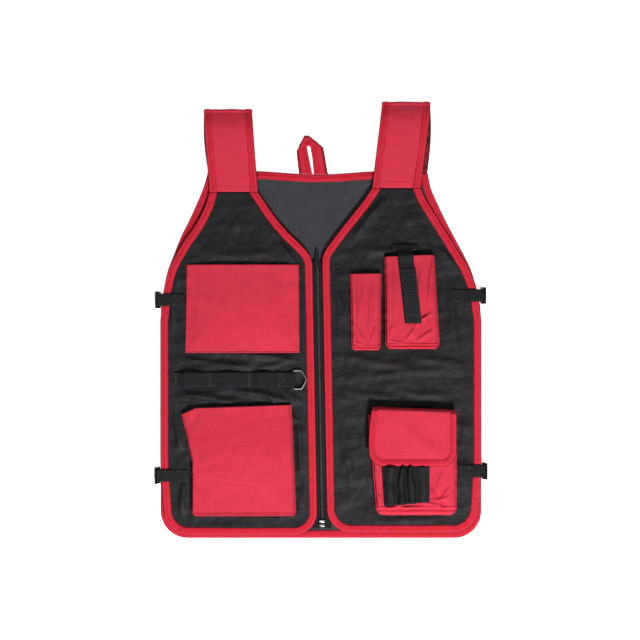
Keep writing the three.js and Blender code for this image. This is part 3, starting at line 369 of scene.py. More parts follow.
@dataclass(frozen=True)
class Webbing:
    """Woven polypropylene webbing: dark ribs across it, painted lighter on their crests and darker in their
    grooves, a painted highlight and shade.
    """

    name: str
    # Light is the painted highlight on the rib crests, deep the painted shade in the grooves
    light: str
    deep: str
    rib: float = 2.4  # real ribs are 1.2 mm apart; drawn twice as coarse so that they show
    warp: float = 1.4  # real warp threads are 0.7 mm apart; drawn twice as coarse too
    roughness: float = 0.6

    def material(self) -> Material:
        """Builds the material.

        Returns:
            The material.
        """
        made, tree = blank(self.name)
        uv = put(tree, "ShaderNodeUVMap", uv_map="cut")
        split = put(tree, "ShaderNodeSeparateXYZ", {0: uv})
        waves = []
        for axis, spacing in ((0, self.warp), (1, self.rib)):
            often = 2 * math.pi / (spacing * MM)
            angle = put(tree, "ShaderNodeMath", {0: split.outputs[axis], 1: often}, operation="MULTIPLY")
            waves.append(put(tree, "ShaderNodeMath", {0: angle}, operation="SINE"))
        weave = put(tree, "ShaderNodeMath", {0: waves[0], 1: 0.35, 2: waves[1]}, operation="MULTIPLY_ADD")
        # Loose fibres, 2.4 mm apart as drawn; the real ones are finer than the render can show
        fuzz = put(tree, "ShaderNodeTexNoise", {"Vector": uv, "Scale": 420.0, "Detail": 2.0})
        height = put(tree, "ShaderNodeMath", {0: weave, 1: 0.4, 2: fuzz}, operation="MULTIPLY_ADD")
        # The colour follows the relief: painted highlight on the crests, painted shade in the grooves, and a
        # random tone from the fuzz
        colour = put(tree, "ShaderNodeMix", {
            0: height, 6: linear(self.deep), 7: linear(self.light),
        }, data_type="RGBA")
        bump = put(tree, "ShaderNodeBump", {"Height": height, "Strength": 0.8, "Distance": 0.0006})
        shader = put(tree, "ShaderNodeBsdfPrincipled", {
            "Base Color": colour.outputs[2], "Roughness": self.roughness, "IOR": 1.49,
            "Specular IOR Level": 0.2, "Sheen Weight": 0.03, "Sheen Roughness": 0.4, "Normal": bump,
        })
        put(tree, "ShaderNodeOutputMaterial", {"Surface": shader})
        return made


@dataclass(frozen=True)
class Hard:
    """A moulded or plated surface with fine scuffs: its gloss breaks up a little from place to place."""

    name: str
    colour: str
    worn: str
    roughness: float
    metallic: float = 0.0
    ior: float = 1.53
    coat: float = 0.0
    relief: float = 0.15

    def material(self) -> Material:
        """Builds the material.

        Returns:
            The material.
        """
        made, tree = blank(self.name)
        place = put(tree, "ShaderNodeTexCoord").outputs["Object"]
        # A fine grain of about 1 mm, coarser than the real one, and scuffs about 6 mm long
        grain = put(tree, "ShaderNodeTexNoise", {"Vector": place, "Scale": 900.0, "Detail": 3.0})
        scuff = put(tree, "ShaderNodeTexNoise", {"Vector": place, "Scale": 160.0, "Detail": 5.0})
        share = put(tree, "ShaderNodeMapRange", {
            "Value": scuff, "From Min": 0.45, "From Max": 0.75, "To Max": 0.6,
        })
        colour = put(tree, "ShaderNodeMix", {
            0: share, 6: linear(self.colour), 7: linear(self.worn),
        }, data_type="RGBA")
        gloss = put(tree, "ShaderNodeMapRange", {
            "Value": scuff, "From Min": 0.3, "From Max": 0.7, "To Min": self.roughness * 0.75,
            "To Max": min(1.0, self.roughness * 1.4),
        })
        bump = put(tree, "ShaderNodeBump", {"Height": grain, "Strength": self.relief, "Distance": 0.0003})
        shader = put(tree, "ShaderNodeBsdfPrincipled", {
            "Base Color": colour.outputs[2], "Roughness": gloss, "Metallic": self.metallic, "IOR": self.ior,
            "Coat Weight": self.coat, "Coat Roughness": 0.15, "Normal": bump,
        })
        put(tree, "ShaderNodeOutputMaterial", {"Surface": shader})
        return made


@dataclass(frozen=True)
class Thread:
    """Twisted polyester sewing thread: a dull gleam along each stitch."""

    name: str
    colour: str
    twist: str

    def material(self) -> Material:
        """Builds the material.

        Returns:
            The material.
        """
        made, tree = blank(self.name)
        place = put(tree, "ShaderNodeTexCoord").outputs["Object"]
        # The twist repeats about every 0.5 mm, as in real thread
        ply = put(tree, "ShaderNodeTexWave", {
            "Vector": place, "Scale": 700.0, "Distortion": 1.0,
        }, bands_direction="DIAGONAL")
        colour = put(tree, "ShaderNodeMix", {
            0: ply.outputs["Fac"], 6: linear(self.colour), 7: linear(self.twist),
        }, data_type="RGBA")
        bump = put(tree, "ShaderNodeBump", {
            "Height": ply.outputs["Fac"], "Strength": 0.4, "Distance": 0.0002,
        })
        shader = put(tree, "ShaderNodeBsdfPrincipled", {
            "Base Color": colour.outputs[2], "Roughness": 0.55, "IOR": 1.5, "Sheen Weight": 0.1,
            "Normal": bump,
        })
        put(tree, "ShaderNodeOutputMaterial", {"Surface": shader})
        return made


class Finishes:
    """Every finish of the vest, each made once."""

    def __init__(self) -> None:
        """Makes the materials."""
        # A full, slightly pink red that stays matt, so that the pockets read as one soft colour
        self.red = WovenCloth(
            "woven_polyester_red", "#b6293c", "#9e1d30", mottle=0.5, relief=0.35, bloom=0.06
        ).material()
        # Near black, with sharp handling creases that catch a dull light
        self.charcoal = WovenCloth(
            "woven_polyester_charcoal", "#131116", "#08070a", mottle=0.7, relief=0.75, bloom=0.02, gloss=0.2,
            roughness=0.62, creasing=0.55,
        ).material()
        # A cool grey that sets the inside of the back apart from the fronts
        self.lining = WovenCloth(
            "woven_polyester_grey_lining", "#35353a", "#27272a", mottle=0.7, relief=0.8, bloom=0.04, gloss=0.2
        ).material()
        # A deeper, cleaner red than the pockets', with painted highlight bands, painted shade at its outer
        # fold and pale pressed blotches: it draws the vest's outline
        self.tape = BindingTape("binding_tape_red", "#a8081f", "#b51f35", "#3c050d").material()
        # The same red painted a little lighter, for the light that the white floor round the loop throws on
        # it
        self.loop_tape = BindingTape(
            "folded_loop_tape_red", "#ad0c24", "#b92238", "#6a0a18", width=19.0
        ).material()
        # Black ribs, flatter and denser than the cloth round them
        self.web = Webbing("polypropylene_webbing_black", "#131315", "#040405").material()
        # A thinner black than the fronts, so that the tool loops stand out from the red behind them
        self.loop_cloth = WovenCloth(
            "woven_polyester_black", "#18181a", "#09090a", mottle=0.7, relief=0.6, bloom=0.03, roughness=0.7,
            gloss=0.16,
        ).material()
        # Dull fine ribs beside the glossier coil
        self.zip_tape = Webbing(
            "knitted_zip_tape_black", "#151518", "#08080a", rib=1.6, roughness=0.75
        ).material()
        # Coarse rows of hooks, the one rough patch among smooth straps
        self.hook = Webbing(
            "hook_and_loop_tape_black", "#222226", "#040405", rib=3.4, roughness=0.8
        ).material()
        # A half dull black, so that each turn has a soft glint
        self.coil = Hard("nylon_zip_coil_black", "#060607", "#101012", 0.55).material()
        # A smooth black with a clear gleam on its rounded edges
        self.plastic = Hard("moulded_acetal_black", "#050506", "#0e0e10", 0.26, coat=0.35).material()
        # A mid grey metal with blurred highlights
        self.steel = Hard("plated_steel_grey", "#7b7a7c", "#59585a", 0.4, metallic=1.0).material()
        # The only bright metal: two small white glints at the foot of the zip
        self.bright = Hard("nickel_plated_brass", "#f0efec", "#c9c7c3", 0.3, metallic=1.0).material()
        # Rows of stitches a shade darker than the red cloth
        self.red_thread = Thread("polyester_thread_red", "#a31a2f", "#7d1122").material()
        # Rows of stitches a shade lighter than the black webbing
        self.black_thread = Thread("polyester_thread_black", "#303034", "#121214").material()


# Meshes


def mesh_object(name: str, points: Array, faces: Array, uv: Array | None, material: Material) -> Piece:
    """Makes a mesh object from four-cornered faces.

    Args:
        name: The piece's name.
        points: Its points in millimetres.
        faces: Four point numbers for each face.
        uv: A place on the cut for each point, in millimetres.
        material: Its material.

    Returns:
        The object, smooth shaded.
    """
    mesh = bpy.data.meshes.new(name)
    mesh.vertices.add(len(points))
    mesh.vertices.foreach_set("co", (points * MM).astype(np.float32).ravel())
    mesh.loops.add(faces.size)
    mesh.loops.foreach_set("vertex_index", faces.astype(np.int32).ravel())
    mesh.polygons.add(len(faces))
    mesh.polygons.foreach_set("loop_start", np.arange(0, faces.size, 4, dtype=np.int32))
    mesh.polygons.foreach_set("loop_total", np.full(len(faces), 4, dtype=np.int32))
    mesh.polygons.foreach_set("use_smooth", np.ones(len(faces), dtype=bool))
    if uv is not None:
        layer = mesh.uv_layers.new(name="cut")
        layer.data.foreach_set("uv", (uv[faces.ravel()] * MM).astype(np.float32).ravel())
    mesh.update(calc_edges=True)
    mesh.validate()
    mesh.materials.append(material)
    piece = bpy.data.objects.new(name, mesh)
    bpy.context.scene.collection.objects.link(piece)
    return piece


def grid_faces(rows: int, columns: int, start: int = 0, flip: bool = False) -> Array:
    """Faces between the points of a grid.

    Args:
        rows: Rows of points.
        columns: Points in a row.
        start: Number of the first point.
        flip: Turns the faces over.

    Returns:
        Four point numbers for each face.
    """
    at = start + np.arange(rows * columns).reshape(rows, columns)
    faces = np.stack([at[:-1, :-1], at[:-1, 1:], at[1:, 1:], at[1:, :-1]], axis=-1).reshape(-1, 4)
    return faces[:, ::-1] if flip else faces


def grid_normals(grid: Array) -> Array:
    """The normal of a grid at each point: along its rows turned into up its columns."""
    return unit(np.cross(np.gradient(grid, axis=1), np.gradient(grid, axis=0)))


def cut_places(grid: Array) -> Array:
    """Where each point of a grid lies on the flat cut, measured along the cloth.

    Args:
        grid: The points of a cloth's face.

    Returns:
        Places across, from the middle column, and along, from the first row.
    """
    across = np.linalg.norm(np.diff(grid, axis=1, prepend=grid[:, :1]), axis=2).cumsum(axis=1)
    along = np.linalg.norm(np.diff(grid, axis=0, prepend=grid[:1]), axis=2).cumsum(axis=0)
    middle = grid.shape[1] // 2
    level = np.broadcast_to(along[:, middle : middle + 1], across.shape)
    return np.stack([across - across[:, middle : middle + 1], level], axis=-1)


def cloth_piece(name: str, face: Array, thickness: float, material: Material, crown: float = 0.0) -> Piece:
    """Cloth with two faces and closed edges.

    Args:
        name: The piece's name.
        face: Its outer face as a grid whose normals point out of it.
        thickness: Its thickness.
        material: Its material.
        crown: How far the middle of the face stands above its edges, for webbing.

    Returns:
        The object.
    """
    normals = grid_normals(face)
    rows, columns = face.shape[:2]
    if crown:
        t = np.linspace(-1, 1, columns)[None, :, None]
        face = face + normals * crown * (1 - t**4)
    under = face - normals * thickness
    count = rows * columns
    at = np.arange(count).reshape(rows, columns)
    rim = np.concatenate([at[0, :], at[1:, -1], at[-1, -2::-1], at[-2:0:-1, 0]])
    after = np.roll(rim, -1)
    edge = np.stack([rim, rim + count, after + count, after], axis=-1)
    faces = np.concatenate([grid_faces(rows, columns), grid_faces(rows, columns, count, True), edge])
    uv = cut_places(face).reshape(-1, 2)
    points = np.concatenate([face.reshape(-1, 3), under.reshape(-1, 3)])
    return mesh_object(name, points, faces, np.concatenate([uv, uv]), material)


def loft(name: str, rings: Array, uv: Array, material: Material) -> Piece:
    """A closed body through rings of points, with flat ends.

    Args:
        name: The piece's name.
        rings: Rings of an even number of points, in order along the body.
        uv: A place on the cut for each point.
        material: Its material.

    Returns:
        The object.
    """
    count, sides = rings.shape[:2]
    at = np.arange(count * sides).reshape(count, sides)
    turn = np.roll(at, -1, axis=1)
    walls = np.stack([at[:-1], turn[:-1], turn[1:], at[1:]], axis=-1).reshape(-1, 4)
    half = sides // 2
    caps = []
    for ring, flip in ((at[0], False), (at[-1], True)):
        for i in range(half - 1):
            face = [ring[i], ring[sides - 1 - i], ring[sides - 2 - i], ring[i + 1]]
            caps.append(face[::-1] if flip else face)
    faces = np.concatenate([walls, np.array(caps)])
    return mesh_object(name, rings.reshape(-1, 3), faces, uv.reshape(-1, 2), material)


def wire(name: str, path: Array, radius: float, material: Material, sides: int = 16) -> Piece:
    """A round wire bent along a closed path in a plane.

    Args:
        name: The piece's name.
        path: The points of its middle line, the last one next to the first.
        radius: Its radius.
        material: Its material.
        sides: Points round it.

    Returns:
        The object.
    """
    ahead = unit(np.roll(path, -1, axis=0) - np.roll(path, 1, axis=0))
    flat = np.linalg.svd(path - path.mean(axis=0))[2][2]
    out = unit(np.cross(ahead, flat))
    turn = np.linspace(0, 2 * math.pi, sides, endpoint=False)
    round_it = out[:, None] * np.cos(turn)[None, :, None] + flat * np.sin(turn)[None, :, None]
    rings = path[:, None] + radius * round_it
    uv = np.stack(np.meshgrid(distances(path), turn * radius, indexing="ij"), axis=-1)
    at = np.arange(len(path) * sides).reshape(len(path), sides)
    after = np.roll(at, -1, axis=0)
    faces = np.stack([at, np.roll(at, -1, axis=1), np.roll(after, -1, axis=1), after], axis=-1)
    return mesh_object(name, rings.reshape(-1, 3), faces.reshape(-1, 4), uv.reshape(-1, 2), material)


def rods(
    name: str, middle: Array, ahead: Array, up: Array, shape: Sequence[Sequence[float]], sides: int,
    material: Material, squash: float = 1.0,
) -> Piece:
    """Many short rounded rods as one piece.

    Args:
        name: The piece's name.
        middle: The middle of each rod.
        ahead: The way along each rod.
        up: The way up from each rod.
        shape: For each ring of points: how far along the rod it is, its radius and its lift.
        sides: Points round a rod, an even number.
        material: Their material.
        squash: Their height as a share of their width.

    Returns:
        The object.
    """
    middle, ahead, up = (np.asarray(a, float)[:, None, None] for a in (middle, ahead, up))
    side = np.cross(up, ahead)
    along, thick, lift = (np.array(part)[None, :, None, None] for part in zip(*shape))
    turn = np.linspace(0, 2 * math.pi, sides, endpoint=False)[None, None, :, None]
    points = (
        middle + ahead * along + side * thick * np.cos(turn)
        + up * (thick * squash * np.sin(turn) + lift)
    )
    at = np.arange(points.size // 3).reshape(points.shape[:3])
    turned = np.roll(at, -1, axis=2)
    walls = np.stack([at[:, :-1], turned[:, :-1], turned[:, 1:], at[:, 1:]], axis=-1).reshape(-1, 4)
    quads = [[sides - 1 - i, sides - 2 - i, i + 1, i] for i in range(sides // 2 - 1)]
    caps = [at[:, 0][:, quad] for quad in quads] + [at[:, -1][:, quad[::-1]] for quad in quads]
    return mesh_object(name, points.reshape(-1, 3), np.concatenate([walls, *caps]), None, material)


@dataclass
class Stitching:
    """Rows of stitches, gathered for one piece: short rounded bars that dip into the cloth at their ends."""

    pitch: float = 3.2
    length: float = 2.3
    radius: float = 0.32
    runs: list[tuple[Array, Array]] = field(default_factory=list)

    def add(self, line: Array, up: Array) -> None:
        """Adds a row.

        Args:
            line: Points along the row, on the cloth's face.
            up: The face's normal there, one for all or one for each point.
        """
        up = np.broadcast_to(up, line.shape)
        both = evenly(np.hstack([line, up]), 0.8)
        self.runs.append((both[:, :3], unit(both[:, 3:])))

    def make(self, name: str, material: Material) -> Piece:
        """Builds the piece.

        Args:
            name: The piece's name.
            material: The thread's material.

        Returns:
            The object.
        """
        middles, aheads, ups = [], [], []
        for line, up in self.runs:
            gone = distances(line)
            stops = np.arange(self.pitch / 2, gone[-1], self.pitch)
            if len(stops) == 0:
                continue
            ahead = unit(np.gradient(line, axis=0))
            rows = (middles, line), (aheads, ahead), (ups, up)
            for found, given in rows:
                found.append(np.stack([np.interp(stops, gone, given[:, k]) for k in range(3)], axis=1))
        # Places along, radii and lifts: the ends dip into the cloth
        rings = (
            (-0.5, 0.35, -0.25), (-0.32, 0.9, 0.12), (0.0, 1.0, 0.2), (0.32, 0.9, 0.12), (0.5, 0.35, -0.25),
        )
        shape = [(along * self.length, thick * self.radius, lift) for along, thick, lift in rings]
        bars = (np.concatenate(middles), unit(np.concatenate(aheads)), unit(np.concatenate(ups)))
        piece = rods(name, *bars, shape, 6, material, 0.8)
        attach(piece, "vest")
        return piece


def settle(piece: Piece, face: Array, hold: Hold, rests: Sequence[str], *nodes: str) -> None:
    """Attaches a cloth piece to the vest's body and hides the nodes that it stands for.

    Args:
        piece: The piece.
        face: The grid of its face; the cut's places are worked out from it but not used.
        hold: How it lies; not used.
        rests: The pieces or nodes that it lies on; not used.
        nodes: The nodes that it stands for.
    """
    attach(piece, "vest")
    if nodes:
        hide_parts(*nodes)
    uv = cut_places(face)


# The vest's cut and drape


@dataclass(frozen=True)
class Fold:
    """A soft ridge in cloth from one place of the plan to another, or a hollow where it is below zero."""

    x0: float
    y0: float
    x1: float
    y1: float
    width: float
    height: float
    bow: float = 0.0

    def rise(self, x: Array, y: Array) -> Array:
        """How far it lifts the cloth at each place.

        Args:
            x: Places across.
            y: Places along.

        Returns:
            The lift at each place, below zero in a hollow.
        """
        dx, dy = self.x1 - self.x0, self.y1 - self.y0
        long = math.hypot(dx, dy)
        t = ((x - self.x0) * dx + (y - self.y0) * dy) / long**2
        off = ((x - self.x0) * dy - (y - self.y0) * dx) / long - self.bow * np.sin(math.pi * np.clip(t, 0, 1))
        width = self.width * (0.7 + 0.6 * np.clip(t, 0, 1))
        return self.height * smooth(t / 0.3) * smooth((1 - t) / 0.3) * np.exp(-((off / width) ** 2))


@dataclass(frozen=True)
class Strap:
    """Where a shoulder strap runs: shares of the half chest across, and of the length along."""

    seam_x: float
    seam_up: float
    top_x: float
    top_up: float
    back_x: float
    back_lean: float


@dataclass(frozen=True)
class Cut:
    """The outline and the layers of the vest, the same as the frame's."""

    length: float = 699.0
    chest: float = 514.0
    cloth: float = 1.4
    pocket_cloth: float = 1.2
    tape: float = 1.0
    tape_width: float = 11.0
    ease: float = 0.4
    gap: float = 0.4
    web: float = 1.2
    front_corner: float = 37.0
    back_corner: float = 42.0
    taper: float = 7.0
    taper_up: float = 0.2
    armhole_up: float = 0.498
    neck_up: float = 0.841
    neck_dip: float = 5.0
    zip_gap: float = 15.0
    zip_top_up: float = 0.626
    strap_width: float = 78.0
    shoulder_rise: float = 1.2

    @property
    def half(self) -> float:
        """Half the chest."""
        return self.chest / 2

    @property
    def hem_y(self) -> float:
        """Height of the hem on the plan."""
        return -self.length / 2

    @property
    def inset(self) -> float:
        """From the binding's outer face to the cloth inside it."""
        return self.tape + self.ease

    @property
    def front_z(self) -> float:
        """Underside of the front cloth at its edges."""
        return 3 * self.inset + self.cloth + 2.0

    def x(self, share: float) -> float:
        """A place across, from a share of the half chest."""
        return share * self.half

    def y(self, up: float) -> float:
        """A place along, from a share of the length."""
        return self.hem_y + up * self.length


CUT = Cut()
STRAPS = {
    Side.LEFT: Strap(-0.5436, 0.793, -0.578, 0.983, -0.5517, -3),
    Side.RIGHT: Strap(0.4689, 0.802, 0.531, 1.0, 0.513, 3),
}
HEM_UP = {Side.LEFT: 5.0, Side.RIGHT: 9.0}
ARM_UP = (0, 0.16, 0.3, 0.41, 0.51, 0.62, 0.73, 0.83, 0.92, 1)
FRONT_ARM = {
    Side.LEFT: through(ARM_UP, (0, 0.043, 0.1, 0.185, 0.32, 0.495, 0.7, 0.845, 0.945, 1)),
    Side.RIGHT: through(ARM_UP, (0, 0.05, 0.13, 0.235, 0.37, 0.515, 0.67, 0.805, 0.925, 1)),
}
BACK_UP = (0, 0.1, 0.21, 0.33, 0.43, 0.56, 0.67, 0.775, 0.88, 1)
BACK_ARM = {
    Side.LEFT: through(BACK_UP, (0, 0.015, 0.068, 0.147, 0.265, 0.428, 0.6, 0.751, 0.888, 1)),
    Side.RIGHT: through(BACK_UP, (0, 0.02, 0.085, 0.18, 0.31, 0.505, 0.665, 0.805, 0.93, 1)),
}
NECK_UP = (0, 0.1, 0.2, 0.3, 0.45, 0.65, 0.85, 1)
NECK = {
    Side.LEFT: through(NECK_UP, (0, 0.03, 0.12, 0.25, 0.455, 0.68, 0.868, 1)),
    Side.RIGHT: through(NECK_UP, (0, 0.01, 0.08, 0.19, 0.365, 0.607, 0.852, 1)),
}
# Broad swells: place, half sizes as shares of the half chest and the length, and height
SWELLS = (
    (-0.52, 0.35, 0.47, 0.34, 3.0), (0.52, 0.35, 0.47, 0.34, 3.0), (-0.5, 0.0, 0.4, 0.12, 3.2),
    (0.54, 0.0, 0.4, 0.12, 3.2), (-0.6, 0.43, 0.36, 0.05, 1.0), (-0.16, 0.24, 0.12, 0.09, 0.9),
)
FOLD_GAIN = 1.2
FRONT_FOLDS = (
    # Between the chest pocket and the belt, and under the belt
    Fold(-238, -58, -96, -76, 4.5, 4.2, 3), Fold(-160, -54, -30, -66, 4.0, 3.4, -3),
    Fold(-236, -72, -150, -64, 3.5, -1.8, 2), Fold(-110, -78, -40, -62, 3.5, 2.6, 2),
    Fold(-236, -114, -120, -130, 4.5, 4.4, 4), Fold(-150, -112, -34, -136, 4.2, 4.0, -4),
    Fold(-238, -124, -160, -120, 3.5, 2.8, -2), Fold(-90, -114, -28, -168, 4.0, 3.6, 5),
    Fold(-60, -112, -26, -134, 3.0, 2.6, 2),
    # Beside and under the lower pocket
    Fold(-234, -134, -222, -216, 4.0, 3.4, 3), Fold(-226, -130, -234, -200, 3.2, -1.6, 2),
    Fold(-216, -250, -224, -318, 4.0, 3.2, 2), Fold(-34, -150, -28, -262, 4.0, 3.4, 3),
    Fold(-22, -190, -30, -300, 3.5, 2.6, -2), Fold(-200, -326, -80, -332, 4.0, 2.6, 2),
    # From the left strap's seam and armhole
    Fold(-178, 196, -204, 108, 6.5, 3.2, 6), Fold(-112, 190, -56, 116, 6.5, 2.8, -6),
    Fold(-150, 182, -140, 102, 7.5, -1.8, 3), Fold(-230, 80, -240, -36, 4.0, 3.0, 2),
    Fold(-222, 66, -228, -10, 3.2, -1.6, 1), Fold(-26, 92, -24, -50, 3.5, 2.6, 2),
    Fold(-60, 112, -190, 104, 6.0, 2.2, -4), Fold(-34, 84, -80, 130, 5.0, 2.2, 2),
    # Down the right front
    Fold(24, 92, 30, -50, 5.9, 2.0, -3), Fold(36, 80, 38, -20, 4.7, -1.0, 2),
    Fold(28, -54, 150, -74, 6.5, 2.2, 4), Fold(60, -94, 226, -80, 6.5, 2.3, -5),
    Fold(24, -110, 128, -124, 5.9, 1.9, 3), Fold(150, -60, 222, -66, 5.2, 1.7, 2),
    Fold(110, -112, 214, -120, 5.2, 1.7, 3), Fold(208, 74, 222, -70, 6.5, 2.2, 4),
    Fold(224, 40, 232, -60, 4.5, 1.4, -2), Fold(30, -140, 40, -250, 5.9, 1.9, -3),
    Fold(46, -170, 52, -300, 5.2, 1.7, 3), Fold(232, -120, 228, -290, 4.5, 1.5, 2),
    Fold(60, -326, 200, -322, 5.2, 1.4, -2), Fold(24, -230, 34, -318, 4.5, 1.4, 2),
    Fold(20, -70, 28, -190, 5.2, 1.4, 3),
    # From the right strap's seam and armhole
    Fold(116, 204, 52, 124, 6.5, 3.2, 5), Fold(150, 196, 208, 104, 6.0, 3.0, -5),
    Fold(124, 186, 126, 116, 8.0, -1.8, 3), Fold(60, 112, 180, 118, 6.0, 2.4, 4),
    Fold(180, 120, 232, 70, 5.0, 2.6, -3),
)


def zip_x(y: Array) -> Array:
    """The zip's middle line, which runs a little aslant."""
    return mix(2.4, -5.9, (y - CUT.hem_y) / (CUT.length * CUT.zip_top_up))


def corner_draw(above: Array, radius: float) -> Array:
    """How far a rounded corner draws an edge in, at a height above the hem."""
    left = np.clip(radius - above, 0, radius)
    return radius - np.sqrt(np.maximum(0.0, radius**2 - left**2))


def outer_edge(side: Side, y: Array) -> Array:
    """The outer edge of a front cloth at each height.

    Args:
        side: Which front.
        y: Heights on the plan.

    Returns:
        Places across.
    """
    sign, strap = side.value, STRAPS[side]
    up = (y - CUT.hem_y) / CUT.length
    taper = sign * CUT.taper * smooth((CUT.taper_up - up) / CUT.taper_up)
    arm = CUT.x(strap.seam_x) + sign * (CUT.strap_width / 2 - CUT.inset)
    t = (up - CUT.armhole_up) / (strap.seam_up - CUT.armhole_up)
    hem = CUT.hem_y + HEM_UP[side] + CUT.inset
    edge = mix(sign * (CUT.half - CUT.inset) - taper, arm, FRONT_ARM[side](t))
    return edge - sign * corner_draw(y - hem, CUT.front_corner)


def inner_edge(side: Side, y: Array) -> Array:
    """The zip edge and the neckline of a front cloth at each height.

    Args:
        side: Which front.
        y: Heights on the plan.

    Returns:
        Places across.
    """
    sign, strap = side.value, STRAPS[side]
    zip_top = CUT.y(CUT.zip_top_up)
    edge = zip_x(np.minimum(y, zip_top)) + sign * (CUT.zip_gap / 2 + CUT.inset)
    neck = CUT.x(strap.seam_x) - sign * (CUT.strap_width / 2 - CUT.inset)
    t = ((y - CUT.hem_y) / CUT.length - CUT.zip_top_up) / (strap.seam_up - CUT.zip_top_up)
    hem = CUT.hem_y + HEM_UP[side] + CUT.inset
    return mix(edge, neck, NECK[side](t)) + sign * corner_draw(y - hem, CUT.front_corner)


def back_edge(side: Side, y: Array) -> Array:
    """The edge of the back cloth at each height.

    Args:
        side: Which side.
        y: Heights on the plan.

    Returns:
        Places across.
    """
    sign, strap = side.value, STRAPS[side]
    t = ((y - CUT.hem_y) / CUT.length - CUT.armhole_up) / (CUT.neck_up - CUT.armhole_up)
    arm = CUT.x(strap.back_x) + sign * (CUT.strap_width / 2 - CUT.inset)
    edge = mix(sign * (CUT.half - CUT.inset), arm, BACK_ARM[side](t))
    return edge - sign * corner_draw(y - CUT.hem_y - CUT.inset, CUT.back_corner)


def neck_ends() -> tuple[float, float]:
    """Where the back neck's binding starts and ends between the straps."""
    left = CUT.x(STRAPS[Side.LEFT].back_x) + CUT.strap_width / 2
    return left, CUT.x(STRAPS[Side.RIGHT].back_x) - CUT.strap_width / 2


def neck_y(x: Array) -> Array:
    """The top edge of the back cloth: straight under the straps, dipping between them.

    Args:
        x: Places across.

    Returns:
        Heights on the plan.
    """
    left, right = neck_ends()
    t = np.clip(np.abs(x - (left + right) / 2) / ((right - left) / 2), 0, 1)
    return CUT.y(CUT.neck_up) - CUT.inset - CUT.neck_dip * (1 - t**2) ** 2


def frame_front(x: Array, y: Array) -> Array:
    """Height of the front cloth's underside in the frame, without folds.

    Args:
        x: Places across.
        y: Places along.

    Returns:
        The height at each place.
    """
    up = (y - CUT.hem_y) / CUT.length
    lift = (up - CUT.armhole_up) / (STRAPS[Side.LEFT].seam_up - CUT.armhole_up)
    z = CUT.front_z + CUT.shoulder_rise * smooth(lift) + 0.0 * x
    for sx, sup, across, along, height in SWELLS:
        far = ((x / CUT.half - sx) / across) ** 2 + ((up - sup) / along) ** 2
        z = z + np.where(far < 1, height * (1 - far) ** 2, 0.0)
    return z


def front_z(x: Array, y: Array) -> Array:
    """Height of the front cloth's underside, with its folds, which fade out at the edges.

    Args:
        x: Places across.
        y: Places along.

    Returns:
        The height at each place.
    """
    x, y = np.asarray(x, float), np.asarray(y, float)
    inside = np.full(np.broadcast(x, y).shape, 0.0)
    for side in Side:
        sign = side.value
        near = np.minimum(sign * (outer_edge(side, y) - x), sign * (x - inner_edge(side, y)))
        near = np.minimum(near, y - CUT.hem_y - HEM_UP[side] - CUT.inset)
        near = np.minimum(near, CUT.y(STRAPS[side].seam_up) - y)
        inside = np.maximum(inside, near)
    fade = smooth((inside - 6) / 22)
    folds = FOLD_GAIN * sum(fold.rise(x, y) for fold in FRONT_FOLDS)
    uneven = 0.8 * unevenness(x, y, 46, 3) + 0.32 * unevenness(x, y, 19, 4) + 0.1 * unevenness(x, y, 8, 5)
    return frame_front(x, y) + fade * np.maximum(folds + uneven, -1.2)


def front_top(x: Array, y: Array) -> Array:
    """Height at which a layer on the front cloth starts."""
    return front_z(x, y) + CUT.cloth + 0.15


def calm_top(x: Array, y: Array) -> Array:
    """Height at which a layer on the front cloth would start if the cloth had no folds."""
    return frame_front(x, y) + CUT.cloth + 0.75


def fan_rows(low: float, high: float, radius: float, step: float) -> Array:
    """Heights up a panel, close together round its lower corners.

    Args:
        low: The panel's lower edge.
        high: Its upper edge.
        radius: Radius of its lower corners.
        step: Distance between the rows above the corners.

    Returns:
        The heights, from low to high.
    """
    turn = np.radians(np.linspace(0, 90, 22))
    corner = low + radius * (1 - np.cos(turn))
    body = np.linspace(low + radius, high, int((high - low - radius) / step))
    return np.concatenate([corner, body[1:]])


